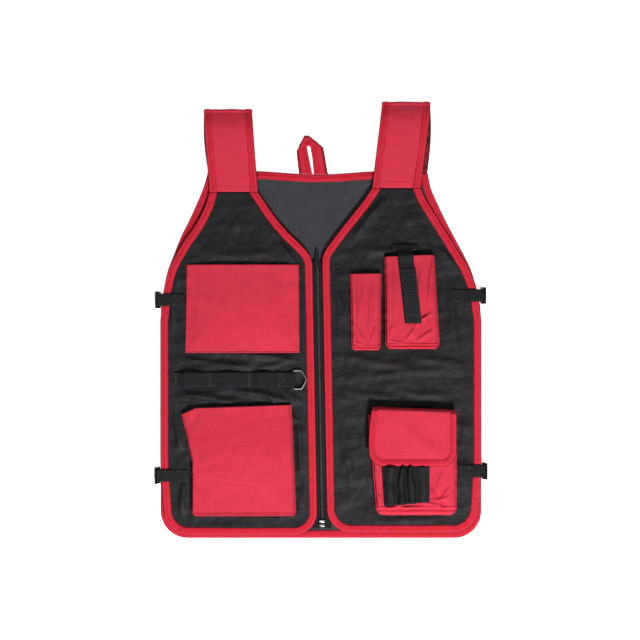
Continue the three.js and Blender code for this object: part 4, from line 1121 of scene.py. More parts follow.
@dataclass
class Panels:
    """The back cloth and the two front cloths."""

    finish: Finishes
    pitch: float = 3.2
    columns: int = 84

    def back(self) -> Piece:
        """Builds the back cloth, flat on the surface and lifted into its binding at the edges.

        Returns:
            The object.
        """
        low = CUT.hem_y + CUT.inset
        straight = CUT.y(CUT.neck_up) - CUT.inset
        rows = fan_rows(low, straight - 14, CUT.back_corner, 4.5)
        t = np.linspace(0, 1, 120)
        left, right = back_edge(Side.LEFT, rows), back_edge(Side.RIGHT, rows)
        x = mix(left[:, None], right[:, None], t[None])
        y = np.broadcast_to(rows[:, None], x.shape)
        top_x = mix(back_edge(Side.LEFT, np.array(straight)), back_edge(Side.RIGHT, np.array(straight)), t)
        for share in (0.34, 0.67, 1.0):
            x = np.vstack([x, mix(x[len(rows) - 1], top_x, share)])
            y = np.vstack([y, mix(straight - 14, neck_y(x[-1]), share)])
        inside = np.minimum(x - back_edge(Side.LEFT, y), back_edge(Side.RIGHT, y) - x)
        inside = np.minimum(np.minimum(inside, y - low), neck_y(x) - y)
        lift = CUT.inset * (1 - smooth((inside - 14) / 14))
        soft = 0.5 * (1 + np.clip(unevenness(x, y, 60, 11), -1, 1)) * smooth((inside - 14) / 20)
        face = np.stack([x, y, lift + soft + CUT.cloth], axis=-1)
        piece = cloth_piece("back_cloth", face, CUT.cloth, self.finish.lining)
        settle(piece, face, Hold.LAID, ["floor"], "back_panel")
        return piece

    def front(self, side: Side) -> Piece:
        """Builds one front cloth.

        Args:
            side: Which one.

        Returns:
            The object.
        """
        low = CUT.hem_y + HEM_UP[side] + CUT.inset
        rows = fan_rows(low, CUT.y(STRAPS[side].seam_up), CUT.front_corner, self.pitch)
        ends = (outer_edge(side, rows), inner_edge(side, rows))
        start, end = ends if side is Side.LEFT else ends[::-1]
        x = mix(start[:, None], end[:, None], np.linspace(0, 1, self.columns)[None])
        y = np.broadcast_to(rows[:, None], x.shape)
        face = np.stack([x, y, front_z(x, y) + CUT.cloth], axis=-1)
        name = side.name.lower()
        piece = cloth_piece(f"front_cloth_{name}", face, CUT.cloth, self.finish.charcoal)
        settle(piece, face, Hold.LAID, ["back_cloth"], f"front_panel_{name}")
        return piece

    def build(self) -> list[Piece]:
        """Builds all three."""
        return [self.back(), *(self.front(side) for side in Side)]


@dataclass
class Binding:
    """Tape folded round a cloth edge and stitched through, with a rounded fold and a soft face."""

    finish: Finishes
    width: float = CUT.tape_width
    cloth: float = CUT.cloth
    pucker: float = 0.22
    line: float = 2.9  # the stitches run this far in from the tape's inner lip

    def section(self) -> tuple[Array, Array]:
        """The tape's section.

        Returns:
            Ways in and up for each point of the closed section, and the way across for each point.
        """
        low, high = -CUT.inset, self.cloth + CUT.inset
        radius = (high - low) / 2
        turn = np.radians(np.linspace(-90, 90, 9))
        centre = np.array([radius - CUT.inset, low + radius])
        fold = centre + radius * np.column_stack([-np.cos(turn), np.sin(turn)])
        face_in = np.linspace(radius - CUT.inset, self.width, 12)[1:]
        share = (face_in - face_in[0]) / (self.width - face_in[0])
        dent = np.exp(-(((face_in - self.width + self.line) / 0.9) ** 2))
        puff = 0.35 * (np.sin(math.pi * share) - dent)
        # The lip is pulled down on to the cloth
        sunk = smooth((face_in - self.width + 2.2) / 2.2)
        face = np.stack([face_in, mix(high + puff, self.cloth + 0.75, sunk)], axis=1)
        under = np.array([[self.width, -0.75], [self.width - 2.2, low], [self.width * 0.5, low]])
        outside = np.vstack([under, fold, face])
        inner = np.array([
            [self.width, self.cloth + 0.2], [self.width - 2.6, high - 0.8], [1.2, self.cloth + 0.25],
            [-0.2, self.cloth * 0.5], [1.2, -0.25], [self.width - 2.6, low + 0.8], [self.width, -0.2],
        ])
        ring = np.vstack([outside, inner])
        middle = len(under) + len(fold) // 2
        gone = distances(outside)
        across = np.concatenate([gone - gone[middle], np.full(len(inner), gone[-1] - gone[middle])])
        return ring, across

    def build(
        self, name: str, edge: Array, inward: Array, up: Array, lip: Array, stitches: Stitching, seed: int
    ) -> Piece:
        """Builds one length of tape.

        Args:
            name: The piece's name.
            edge: Points along the cloth's edge, on its underside.
            inward: The way in over the cloth at each point.
            up: The way up through the cloth at each point.
            lip: How much higher the cloth is at the tape's lip.
            stitches: Where its row of stitches goes.
            seed: Picks its small waves.

        Returns:
            The object.
        """
        ring, across = self.section()
        gone = distances(edge)
        wave = self.pucker * unevenness(gone, np.zeros_like(gone), 9, seed, 5)
        wide = 1 + 0.02 * unevenness(gone, np.zeros_like(gone), 22, seed + 50, 4)
        into, rise = ring[None, :, :1], ring[None, :, 1:]
        over = np.clip(into / self.width, 0, 1)
        into = into * np.where(into > 2, wide[:, None, None], 1.0)
        bulge = np.where(rise > self.cloth, wave[:, None, None] * np.sin(math.pi * over), 0.0)
        raised = rise + bulge + lip[:, None, None] * over
        rings = edge[:, None] + inward[:, None] * into + up[:, None] * raised
        uv = np.stack(np.meshgrid(gone, across, indexing="ij"), axis=-1)
        piece = loft(name, rings, uv, self.finish.tape)
        at = self.width - self.line
        height = self.cloth + CUT.inset - 0.1
        row = edge + inward * at + up * (height + lip * at / self.width)[:, None]
        stitches.add(row, up)
        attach(piece, "vest")
        return piece

    @staticmethod
    def flat_run(points: Array, sign: int, heights: Surface, width: float, axis: int) -> tuple[Array, ...]:
        """Stations along an edge seen from above.

        Args:
            points: The edge's points on the plan, close together.
            sign: Which side of the run the cloth is on: 1 for its left.
            heights: The cloth's underside.
            width: The tape's width.
            axis: The axis that the two ends are cut square to.

        Returns:
            Edge points, ways in, ways up and lip rises.
        """
        ahead = unit(np.gradient(points, axis=0))
        way = np.stack([-ahead[:, 1], ahead[:, 0]], axis=1) * sign
        square = np.zeros(2)
        for i in (0, -1):
            square[axis] = 1.0 / way[i, axis]
            for k in range(4):
                j = k if i == 0 else -1 - k
                way[j] = mix(square, way[j], k / 4)
        inward = np.column_stack([way, np.zeros(len(way))])
        z = heights(points[:, 0], points[:, 1])
        tip = points + way * width
        lip = heights(tip[:, 0], tip[:, 1]) - z
        up = np.tile(UP, (len(points), 1))
        return np.column_stack([points, z]), inward, up, lip

    def on_front(self, side: Side, stitches: Stitching) -> Piece:
        """Down the neckline and the zip edge, along the hem, and up the side and the armhole.

        Args:
            side: Which front.
            stitches: Where its row of stitches goes.

        Returns:
            The object.
        """
        low = CUT.hem_y + HEM_UP[side] + CUT.inset
        rows = fan_rows(low, CUT.y(STRAPS[side].seam_up) - 0.1, CUT.front_corner, 2.5)
        down = np.column_stack([inner_edge(side, rows), rows])[::-1]
        up = np.column_stack([outer_edge(side, rows), rows])
        points = evenly(np.vstack([down, up]), 2.8)
        run = self.flat_run(points, side.value, front_z, self.width, 0)
        name = side.name.lower()
        piece = self.build(f"front_edge_{name}", *run, stitches, 20 + side.value)
        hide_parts(f"front_binding_{name}")
        return self.declare(piece)

    def declare(self, piece: Piece) -> Piece:
        """Works out the width of a length of tape laid open, which nothing uses, and hands the tape back.

        Args:
            piece: The tape.

        Returns:
            The same object.
        """
        wide = (2 * self.width + CUT.cloth) * MM
        return piece

    def on_back(self, stitches: Stitching) -> list[Piece]:
        """The hem, both sides with their armholes, and the neck.

        Args:
            stitches: Where the rows of stitches go.

        Returns:
            The objects.
        """
        low = CUT.hem_y + CUT.inset
        join = low + CUT.back_corner * 1.3
        top = CUT.y(CUT.neck_up) - CUT.inset

        def level(x: Array, y: Array) -> Array:
            """The back cloth's underside in its binding."""
            return np.full(np.shape(x), CUT.inset)

        corner = fan_rows(low, join, CUT.back_corner, 2.5)
        left = np.column_stack([back_edge(Side.LEFT, corner), corner])[::-1]
        right = np.column_stack([back_edge(Side.RIGHT, corner), corner])
        runs = [("hem", "back_binding_hem", np.vstack([left, right]), 1, 0)]
        for side in Side:
            rows = np.arange(join + 0.2, top, 2.8)
            line = np.column_stack([back_edge(side, rows), rows])
            runs.append((side.name.lower(), f"back_binding_{side.name.lower()}", line, side.value, 0))
        x = np.linspace(*neck_ends(), 90)
        runs.append(("neck", "neck_binding", np.column_stack([x, neck_y(x)]), -1, 1))
        made = []
        for i, (name, node, line, sign, axis) in enumerate(runs):
            run = self.flat_run(evenly(line, 2.8), sign, level, self.width, axis)
            piece = self.build(f"back_edge_{name}", *run, stitches, 30 + i)
            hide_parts(node)
            made.append(self.declare(piece))
        return made


@dataclass
class ShoulderStraps:
    """Two straps that run from the fronts over a fold to the back, with tape along both edges."""

    finish: Finishes
    puff: float = 1.6
    lift: float = 0.3
    arch: float = 9.5  # how far a strap stands up between its seam and its fold

    def run(self, side: Side) -> tuple[Array, Array]:
        """The middle line of a strap's underside.

        Args:
            side: Which strap.

        Returns:
            Points along it and its outward normals.
        """
        strap = STRAPS[side]
        back_top = CUT.inset + self.lift + CUT.cloth
        radius = (CUT.front_z + CUT.shoulder_rise - back_top) / 2
        fold_y = CUT.y(strap.top_up) - CUT.inset - CUT.cloth - radius
        start, end = CUT.y(strap.seam_up) + 0.1, CUT.y(CUT.neck_up) - CUT.inset + 0.1
        y = np.linspace(start, fold_y, 44)
        t = (y - start) / (fold_y - start)
        x = mix(CUT.x(strap.seam_x), CUT.x(strap.top_x), t)
        swell = self.arch * smooth(t / 0.78) * (1 - np.clip((t - 0.8) / 0.2, 0, 1) ** 1.6)
        front = np.column_stack([x, y, frame_front(x, y) + swell])
        turn = np.linspace(0, math.pi, 15)[1:-1]
        fold_z = back_top + radius + radius * np.cos(turn)
        fold_x = np.full(len(turn), CUT.x(strap.top_x))
        fold = np.column_stack([fold_x, fold_y + radius * np.sin(turn), fold_z])
        y = np.linspace(fold_y, end, 26)
        t = (y - end) / (fold_y - end)
        lean = strap.back_lean * np.sin(math.pi * np.clip(t, 0, 1))
        x = mix(CUT.x(strap.back_x), CUT.x(strap.top_x), t) + lean
        back = np.column_stack([x, y, np.full(len(y), back_top)])
        line = np.vstack([front, fold, back])
        ahead = unit(np.gradient(line, axis=0))
        up = unit(np.cross(np.array([1.0, 0.0, 0.0]), ahead))
        return line, up

    def build(self) -> list[Piece]:
        """Builds both straps, their tapes and their stitches.

        Returns:
            The objects.
        """
        made = []
        stitches = Stitching()
        half = CUT.strap_width / 2 - CUT.inset
        for side in Side:
            name = side.name.lower()
            line, up = self.run(side)
            across = np.linspace(-half, half, 30)
            gone = distances(line)
            soft = self.puff * np.cos(across / half * math.pi / 2)[None] ** 0.8 * smooth(gone / 20)[:, None]
            soft = soft * smooth((gone[-1] - gone) / 40)[:, None]
            soft = soft + 0.18 * unevenness(gone[:, None], across[None], 24, 40 + side.value)
            face = line[:, None] + np.stack([across, 0 * across, 0 * across], axis=-1)[None]
            face = face + up[:, None] * (CUT.cloth + np.maximum(soft, 0)[..., None])
            piece = cloth_piece(f"strap_cloth_{name}", face, CUT.cloth, self.finish.red)
            settle(piece, face, Hold.FOLDED, [f"front_cloth_{name}", "back_cloth"], f"shoulder_strap_{name}")
            made.append(piece)
            tape = Binding(self.finish)
            for outward, place in ((side.value, "outer"), (-side.value, "inner")):
                edge = line + np.array([outward * half, 0.0, 0.0])
                inward = np.tile([-float(outward), 0.0, 0.0], (len(line), 1))
                bound = tape.build(
                    f"strap_edge_{name}_{place}", edge, inward, up, np.zeros(len(line)), stitches,
                    60 + outward
                )
                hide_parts(f"strap_binding_{name}_{place}")
                made.append(tape.declare(bound))
            seam = line[3] + np.outer(np.linspace(-half + 12, half - 12, 30), [1.0, 0.0, 0.0])
            seam[:, 2] = line[3, 2] + CUT.cloth + 1.2
            stitches.add(seam, UP)
        made.append(stitches.make("strap_stitches", self.finish.red_thread))
        return made


# Pockets


@dataclass(frozen=True)
class Plan:
    """A pocket's plan: its edges as shares of the half chest, its foot and mouth as shares of the length."""

    foot_left: float
    foot_right: float
    foot_up: float
    mouth_left: float
    mouth_right: float
    mouth_up: float
    right_rise: float = 0.0
    flare_from: float = 0.0

    def x(self, u: Array, v: Array) -> Array:
        """The place across, from shares across and along.

        Args:
            u: Shares across.
            v: Shares along.

        Returns:
            Places across.
        """
        flare = np.maximum(v - self.flare_from, 0 if self.flare_from else -9) / (1 - self.flare_from)
        left = mix(CUT.x(self.foot_left), CUT.x(self.mouth_left), flare)
        return mix(left, mix(CUT.x(self.foot_right), CUT.x(self.mouth_right), v), u)

    def y(self, u: Array, v: Array) -> Array:
        """The place along, from shares across and along."""
        return mix(CUT.y(self.foot_up), CUT.y(self.mouth_up) + self.right_rise * u, v)

    @property
    def width(self) -> float:
        """Width halfway up."""
        return float(self.x(1.0, 0.5) - self.x(0.0, 0.5))

    @property
    def length(self) -> float:
        """Length up the middle."""
        return float(self.y(0.5, 1.0) - self.y(0.5, 0.0))


PEN_FOLDS = (
    Fold(50, 2, 74, -40, 3.0, 3.2, 3), Fold(56, 66, 60, -8, 2.6, 2.4, -2),
    Fold(70, 62, 66, -10, 3.0, 2.0, 3), Fold(82, 62, 80, -30, 3.0, 2.6, 2),
    Fold(49, -20, 62, -42, 2.2, 2.4, 1), Fold(88, -8, 78, -44, 2.4, 2.6, 1),
    Fold(52, -36, 80, -40, 2.2, 1.8, 1),
)
PHONE_FOLDS = (
    Fold(179, 101, 172, 14, 2.6, 4.2, 2), Fold(172, 8, 148, -14, 2.4, 3.6, 3),
    Fold(178, 12, 160, -4, 2.2, 3.0, 2), Fold(168, 4, 172, -28, 2.4, 2.6, -2),
    Fold(150, -10, 130, -36, 3.0, 3.0, -2), Fold(116, -6, 108, -38, 3.0, 2.6, 2),
    Fold(102, 78, 106, -24, 3.4, 2.4, 1), Fold(114, 84, 118, 0, 3.0, 1.6, -2),
    Fold(160, 84, 158, 24, 3.4, 2.0, 2), Fold(182, -14, 150, -38, 2.6, 3.2, 2),
    Fold(102, -32, 150, -36, 2.2, 2.2, 2),
)
FLAP_POCKET_FOLDS = (
    Fold(176, -262, 194, -300, 2.8, 3.4, 3), Fold(172, -286, 208, -280, 2.4, 3.2, 2),
    Fold(86, -262, 98, -306, 3.0, 2.8, 1), Fold(206, -302, 140, -288, 2.4, 3.4, 3),
    Fold(92, -302, 134, -290, 2.4, 3.2, 2), Fold(196, -236, 184, -284, 3.4, 2.8, 2),
    Fold(120, -298, 176, -294, 2.0, 2.4, 1), Fold(208, -262, 190, -292, 2.6, 2.6, 2),
    Fold(100, -296, 90, -276, 2.2, 2.2, 1), Fold(180, -240, 174, -276, 3.0, -1.6, 2),
)


@dataclass
class Pocket:
    """A pocket of red cloth: a seam flange, gussets with rounded tops or a low slope, and a soft face."""

    name: str
    node: str
    plan: Plan
    depth: float
    lean_left: float = 2.5
    lean_right: float = 2.5
    lean_foot: float = 6.0
    box: bool = True
    crown: float = 1.6
    folds: tuple[Fold, ...] = ()
    seed: int = 1
    rests: str = "front_cloth_left"
    gusset_waves: float = 0.35
    pitch: float = 2.0
    corner: float = 8.0
    hem: float = 6.0
    droop: float = 0.0  # how far the mouth's left corner hangs
    mouth_drop: float = 0.5  # the mouth lies this share lower than the middle

    def path(self, lean: float) -> Array:
        """The way from the seam up to the face.

        Args:
            lean: How far the gusset leans in under the face's edge.

        Returns:
            Insets and rises, the rise as a share of the depth.
        """
        if not self.box:
            t = np.linspace(0, 1, 20)[1:]
            rim = np.array([[0.0, 0.0], [0.7, 0.18], [1.7, 0.22], [2.6, 0.12], [3.6, 0.2]])
            return np.vstack([rim, np.column_stack([3.6 + 44 * t, 0.2 + 0.8 * np.sin(math.pi / 2 * t)])])
        # A bulging gusset, a crease where it tucks in, and the rounded edge of the face
        bulge = [[0.0, 0.0], [0.05, 0.14], [0.15, 0.28], [0.1 * lean, 0.44], [0.24 * lean, 0.56]]
        crease = [[0.42 * lean, 0.63], [0.56 * lean, 0.61], [0.64 * lean, 0.5], [0.7 * lean, 0.5]]
        edge = [[0.78 * lean, 0.66], [0.88 * lean, 0.9], [lean, 1.04], [lean + 0.7, 1.08]]
        face = [[lean + 1.4, 1.04], [lean + 2.2, 0.97], [lean + 3.8, 1.0]]
        return np.array(bulge + crease + edge + face)

    def grid(self) -> Array:
        """The pocket's face as a grid, from foot to mouth.

        Returns:
            Rows of points from foot to mouth, each from left to right.
        """
        left, right, foot = (self.path(lean) for lean in (self.lean_left, self.lean_right, self.lean_foot))
        wide, long = self.plan.width, self.plan.length
        n_u = int((wide - left[-1, 0] - right[-1, 0]) / self.pitch)
        n_v = int((long - foot[-1, 0]) / self.pitch)
        middle = np.linspace(left[-1, 0], wide - right[-1, 0], n_u + 2)[1:-1]
        u_mm = np.concatenate([left[:, 0], middle, wide - right[::-1, 0]])
        u_rise = np.concatenate([left[:, 1], np.ones(n_u), right[::-1, 1]])
        v_mm = np.concatenate([foot[:, 0], np.linspace(foot[-1, 0], long, n_v + 2)[1:]])
        v_rise = np.concatenate([foot[:, 1], np.ones(n_v + 1)])
        rise = np.minimum(np.minimum(u_rise[None], v_rise[:, None]), 1.0)
        # The face's outer seam is pinched into a low ridge
        ridge = np.maximum(u_rise[None] - 1, 0) + np.maximum(v_rise[:, None] - 1, 0)
        ridge = np.where(rise > 0.95, ridge, 0.0)
        above, from_left, from_right = v_mm[:, None], u_mm[None], wide - u_mm[None]
        draw = 0.8 * corner_draw(above, self.corner) if self.box else 0.0
        shift = draw * (np.clip(1 - from_left / 40, 0, 1) ** 2 - np.clip(1 - from_right / 40, 0, 1) ** 2)
        u, v = np.broadcast_arrays(u_mm[None] / wide, v_mm[:, None] / long)
        x = self.plan.x(u, v) + shift
        y = self.plan.y(u, v) - self.droop * np.clip(1 - u / 0.125, 0, 1) ** 0.8 * smooth((v - 0.72) / 0.28)
        inside = np.minimum(np.minimum(from_left, from_right), above + 0 * from_left)
        soft = smooth(inside / 22)
        bump = self.crown * smooth(inside / (0.42 * wide)) + 0.22 * unevenness(x, y, 30, self.seed)
        # The gussets buckle a little along their length
        waver = self.gusset_waves * np.clip(rise * 1.4, 0, 1) * (1 - smooth((inside - 3) / 12))
        x = x + waver * unevenness(y, 0 * y, 19, self.seed + 5, 4) * np.sign(0.5 - u)
        y = y + waver * unevenness(x, 0 * x, 16, self.seed + 6, 4) * (above < 12)
        # The mouth's hem is two layers thick, and its edge waves a little
        hem = 0.7 * smooth((above - long + self.hem + 0.6) / 1.0) * soft
        lip = smooth((above - long + 14) / 14) * soft
        shallow = 1 - self.mouth_drop * smooth((v - 0.5) / 0.5)
        ground = mix(front_top(x, y), calm_top(x, y), smooth(rise))
        z = ground + CUT.pocket_cloth + self.depth * (rise * shallow + ridge)
        z = z + soft * bump + hem + 0.2 * lip * unevenness(x, 0 * x, 34, self.seed + 9, 4)
        for fold in self.folds:
            z = z + smooth((inside - 1.0) / 6) * fold.rise(x, y)
        if self.droop:
            tuck = np.exp(-(((u - 0.085) / 0.028) ** 2)) - 0.8 * np.exp(-(((u - 0.13) / 0.02) ** 2))
            z = z + 2.6 * tuck * smooth((v - 0.86) / 0.14)
        return np.stack([x, y, z], axis=-1)

    def build(self, finish: Finishes, stitches: Stitching) -> Piece:
        """Builds the pocket.

        Args:
            finish: The vest's finishes.
            stitches: Where its rows of stitches go.

        Returns:
            The object.
        """
        face = self.grid()
        piece = cloth_piece(self.name, face, CUT.pocket_cloth * 0.8, finish.red)
        settle(piece, face, Hold.LAID, [self.rests], self.node)
        normals = grid_normals(face)
        rows = face[:, :, 1].mean(axis=1)
        below = int(np.argmin(np.abs(rows - (rows[-1] - self.hem))))
        inner = slice(10, -10)
        stitches.add(face[below, inner], normals[below, inner])
        if not self.box:
            for column in (2, -3):
                stitches.add(face[2:, column], normals[2:, column])
            stitches.add(face[2, 2:-2], normals[2, 2:-2])
            return piece
        for column in (13, -14):
            stitches.add(face[12:, column], normals[12:, column])
        return piece


@dataclass
class Flap:
    """The flap over the right-hand pocket: red cloth with tape round its hanging sides and tip."""

    finish: Finishes
    top_up: float = 0.3025
    tip_up: float = 0.1675
    left: float = 0.3
    right: float = 0.838
    corner: float = 22.0
    tape: float = 9.0
    depth: float = 16.0
    roll: float = 5.0  # the cloth turns down over this length at the flap's top
    slant: float = 5.0  # the top's right end lies this much lower
    slack: float = 3.6  # the left edge stands in this far at the top
    bow: float = 3.2  # and bows out this far halfway

    def height(self, x: Array, y: Array) -> Array:
        """Underside of the flap where it hangs over the pocket.

        Args:
            x: Places across.
            y: Places along.

        Returns:
            The height at each place.
        """
        lie = self.depth + CUT.pocket_cloth + CUT.gap + CUT.inset
        soft = 0.6 * unevenness(x, y, 38, 77) + Fold(120, -160, 205, -230, 10, 1.4, 4).rise(x, y)
        return calm_top(x, y) + lie + np.maximum(soft, -0.2) + 1.2

    def edges(self, y: Array) -> tuple[Array, Array]:
        """The left and the right edge of the flap's cloth at each height.

        Args:
            y: Heights on the plan.

        Returns:
            Places across of the left edge and of the right edge.
        """
        tip = CUT.y(self.tip_up) + CUT.inset
        draw = corner_draw(y - tip, self.corner)
        along = np.clip((y - tip) / (CUT.y(self.top_up) - tip), 0, 1)
        shift = draw + self.slack * along - self.bow * np.sin(math.pi * along)
        return CUT.x(self.left) + CUT.inset + shift, CUT.x(self.right) - CUT.inset - draw

    def build(self, stitches: Stitching) -> list[Piece]:
        """Builds the flap and its tape.

        Args:
            stitches: Where its rows of stitches go.

        Returns:
            Both objects.
        """
        tip, top = CUT.y(self.tip_up) + CUT.inset, CUT.y(self.top_up)
        hang = fan_rows(tip, top - self.roll, self.corner, 2.2)
        turn = np.radians(np.linspace(0, 90, 9))[1:]
        rows = np.concatenate([hang, top - self.roll + 4.4 * np.sin(turn), [top - 0.2, top]])
        left, right = self.edges(rows)
        x = mix(left[:, None], right[:, None], np.linspace(0, 1, 76)[None])
        sink = self.slant * smooth((rows[:, None] - tip) / (top - tip))
        y = rows[:, None] - sink * (x - left[-1]) / (right[-1] - left[-1])
        share = np.concatenate([np.ones(len(hang)), 1 - 0.5 * (1 - np.cos(turn)), [0.25, 0.0]])
        z = front_top(x, y) + share[:, None] * (self.height(x, y) - front_top(x, y)) + CUT.pocket_cloth
        face = np.stack([x, y, z], axis=-1)
        piece = cloth_piece("flap_cloth", face, CUT.pocket_cloth, self.finish.red)
        settle(piece, face, Hold.FOLDED, ["flap_pocket_cloth"], "pocket_flap")
        tape = Binding(self.finish, width=self.tape, cloth=CUT.pocket_cloth)
        a, b = self.edges(hang)
        b_y = hang - self.slant * smooth((hang - tip) / (top - tip))
        points = np.vstack([np.column_stack([a, hang])[::-1], np.column_stack([b, b_y])])
        run = Binding.flat_run(evenly(points, 2.4), 1, self.height, self.tape, 0)
        bound = tape.build("flap_edge", *run, stitches, 90)
        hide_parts("flap_binding")
        tape.declare(bound)
        stitches.add(face[len(hang) - 1, 6:-6], UP)
        return [piece, bound]


@dataclass
class ToolLoops:
    """A row of four black loops below the flap, each standing up from its tacks."""

    finish: Finishes
    top_up: float = 0.1675
    foot_up: float = 0.0775
    left: float = 0.375
    right: float = 0.671
    height: float = 10.5
    foot_shares: tuple[float, ...] = (0.25, 0.51, 0.74)
    top_shares: tuple[float, ...] = (0.36, 0.5, 0.68)
    arches: tuple[float, ...] = (0.8, 1.0, 0.9, 0.55)
    depth: float = 16.0

    def build(self, stitches: Stitching) -> Piece:
        """Builds the row of loops.

        Args:
            stitches: Where its rows of stitches go.

        Returns:
            The object.
        """
        rows = np.linspace(0, 1, 30)
        tacks = mix(np.array(self.foot_shares)[None], np.array(self.top_shares)[None], rows[:, None])
        sway = 0.022 * np.sin(np.outer(rows, [7.0, 5.0, 9.0]) + np.array([0.4, 2.0, 4.0]))
        tacks = np.column_stack([0 * rows, tacks + sway, 0 * rows + 1])
        t = np.linspace(0, 1, 15)[:-1]
        spans = [mix(tacks[:, i : i + 1], tacks[:, i + 1 : i + 2], t[None]) for i in range(4)]
        across = np.concatenate(spans, axis=1)
        across = np.column_stack([across, tacks[:, 4]])
        arch = np.concatenate([high * np.sin(math.pi * t) ** 1.1 for high in self.arches] + [[0.0]])
        x = mix(mix(CUT.x(self.left) + 4, CUT.x(self.left), rows)[:, None], CUT.x(self.right), across)
        foot = CUT.y(self.foot_up) + 6.0 * across
        y = mix(foot, CUT.y(self.top_up), rows[:, None])
        z = calm_top(x, y) + self.depth + 2 * CUT.pocket_cloth + 1.4
        z = z + self.height * arch[None] * (0.85 + 0.1 * unevenness(x, 0.6 * y, 22, 8))
        face = np.stack([x, y, z + 0.12 * unevenness(x, y, 9, 9)], axis=-1)
        piece = cloth_piece("tool_loop_row", face, CUT.pocket_cloth * 0.8, self.finish.loop_cloth)
        settle(piece, face, Hold.FOLDED, ["flap_pocket_cloth"], "tool_loops")
        normals = grid_normals(face)
        for place in (1, -2):
            stitches.add(face[:, place], normals[:, place])
        stitches.add(face[1, 1:-1], normals[1, 1:-1])
        return piece


@dataclass
class Pockets:
    """Every pocket, with the flap, the tool loops, the phone strap and the stitches that show."""

    finish: Finishes

    def build(self) -> list[Piece]:
        """Builds them.

        Returns:
            The objects.
        """
        red, black = Stitching(), Stitching()
        right = "front_cloth_right"
        kinds = [
            Pocket(
                "chest_pocket_cloth", "chest_pocket", Plan(-0.845, -0.1326, 0.4249, -0.835, -0.1382, 0.6268),
                6.0, box=False, seed=101, crown=0.8, gusset_waves=0.3,
            ),
            Pocket(
                "lower_left_pocket_cloth", "lower_left_pocket",
                Plan(-0.801, -0.153, 0.052, -0.869, -0.182, 0.298, 6.0, 0.5), 14.0, seed=102, crown=2.2,
                lean_foot=4.5, lean_right=2.5, corner=10.0, droop=9.0, mouth_drop=0.62,
            ),
            Pocket(
                "pen_pocket_cloth", "pen_pocket", Plan(0.188, 0.3705, 0.4305, 0.1812, 0.3755, 0.605, 1.0),
                12.0, seed=103, rests=right, crown=1.2, lean_foot=6.5, lean_left=3.0, folds=PEN_FOLDS,
                pitch=1.4,
            ),
            Pocket(
                "phone_pocket_cloth", "phone_pocket",
                Plan(0.398, 0.7395, 0.4335, 0.394, 0.7035, 0.6445, 3.0), 18.0, seed=104, rests=right,
                crown=2.0, lean_foot=7.5, lean_right=4.0, lean_left=3.0, corner=12.0, folds=PHONE_FOLDS,
                pitch=1.4,
            ),
            Pocket(
                "flap_pocket_cloth", "flap_pocket", Plan(0.342, 0.8425, 0.0545, 0.291, 0.8437, 0.284), 16.0,
                seed=105, rests=right, crown=0.8, corner=15.0, gusset_waves=0.5, lean_foot=13.0,
                lean_left=4.0, lean_right=3.5, folds=FLAP_POCKET_FOLDS, pitch=1.5,
            ),
        ]
        made = [pocket.build(self.finish, red) for pocket in kinds]
        made += PhoneClosure(self.finish).build(kinds[3].grid())
        made += Flap(self.finish).build(red)
        made.append(ToolLoops(self.finish).build(black))
        made.append(red.make("pocket_stitches", self.finish.red_thread))
        made.append(black.make("tool_loop_stitches", self.finish.black_thread))
        return made


# Webbing and hardware


def webbing_piece(
    name: str, stops: Array, across: Array, width: float, finish: Finishes, rests: str, *nodes: str
) -> tuple[Piece, Array]:
    """A length of webbing along stops on its underside.

    Args:
        name: The piece's name.
        stops: Points along the middle of its underside.
        across: The way across it, so that its face points to across turned into the way it runs.
        width: Its width.
        finish: The vest's finishes.
        rests: What it lies on.
        nodes: The nodes that it stands for.

    Returns:
        The object and the grid of its face.
    """
    line = spline(np.array(stops, float), 1.6)
    up = unit(np.cross(across, np.gradient(line, axis=0)))
    t = np.linspace(-0.5, 0.5, 11)
    face = line[:, None] + up[:, None] * CUT.web + across[None, None] * (t * width)[None, :, None]
    piece = cloth_piece(name, face, CUT.web * 0.9, finish.web, crown=0.12)
    settle(piece, face, Hold.FOLDED, [rests], *nodes)
    return piece, face


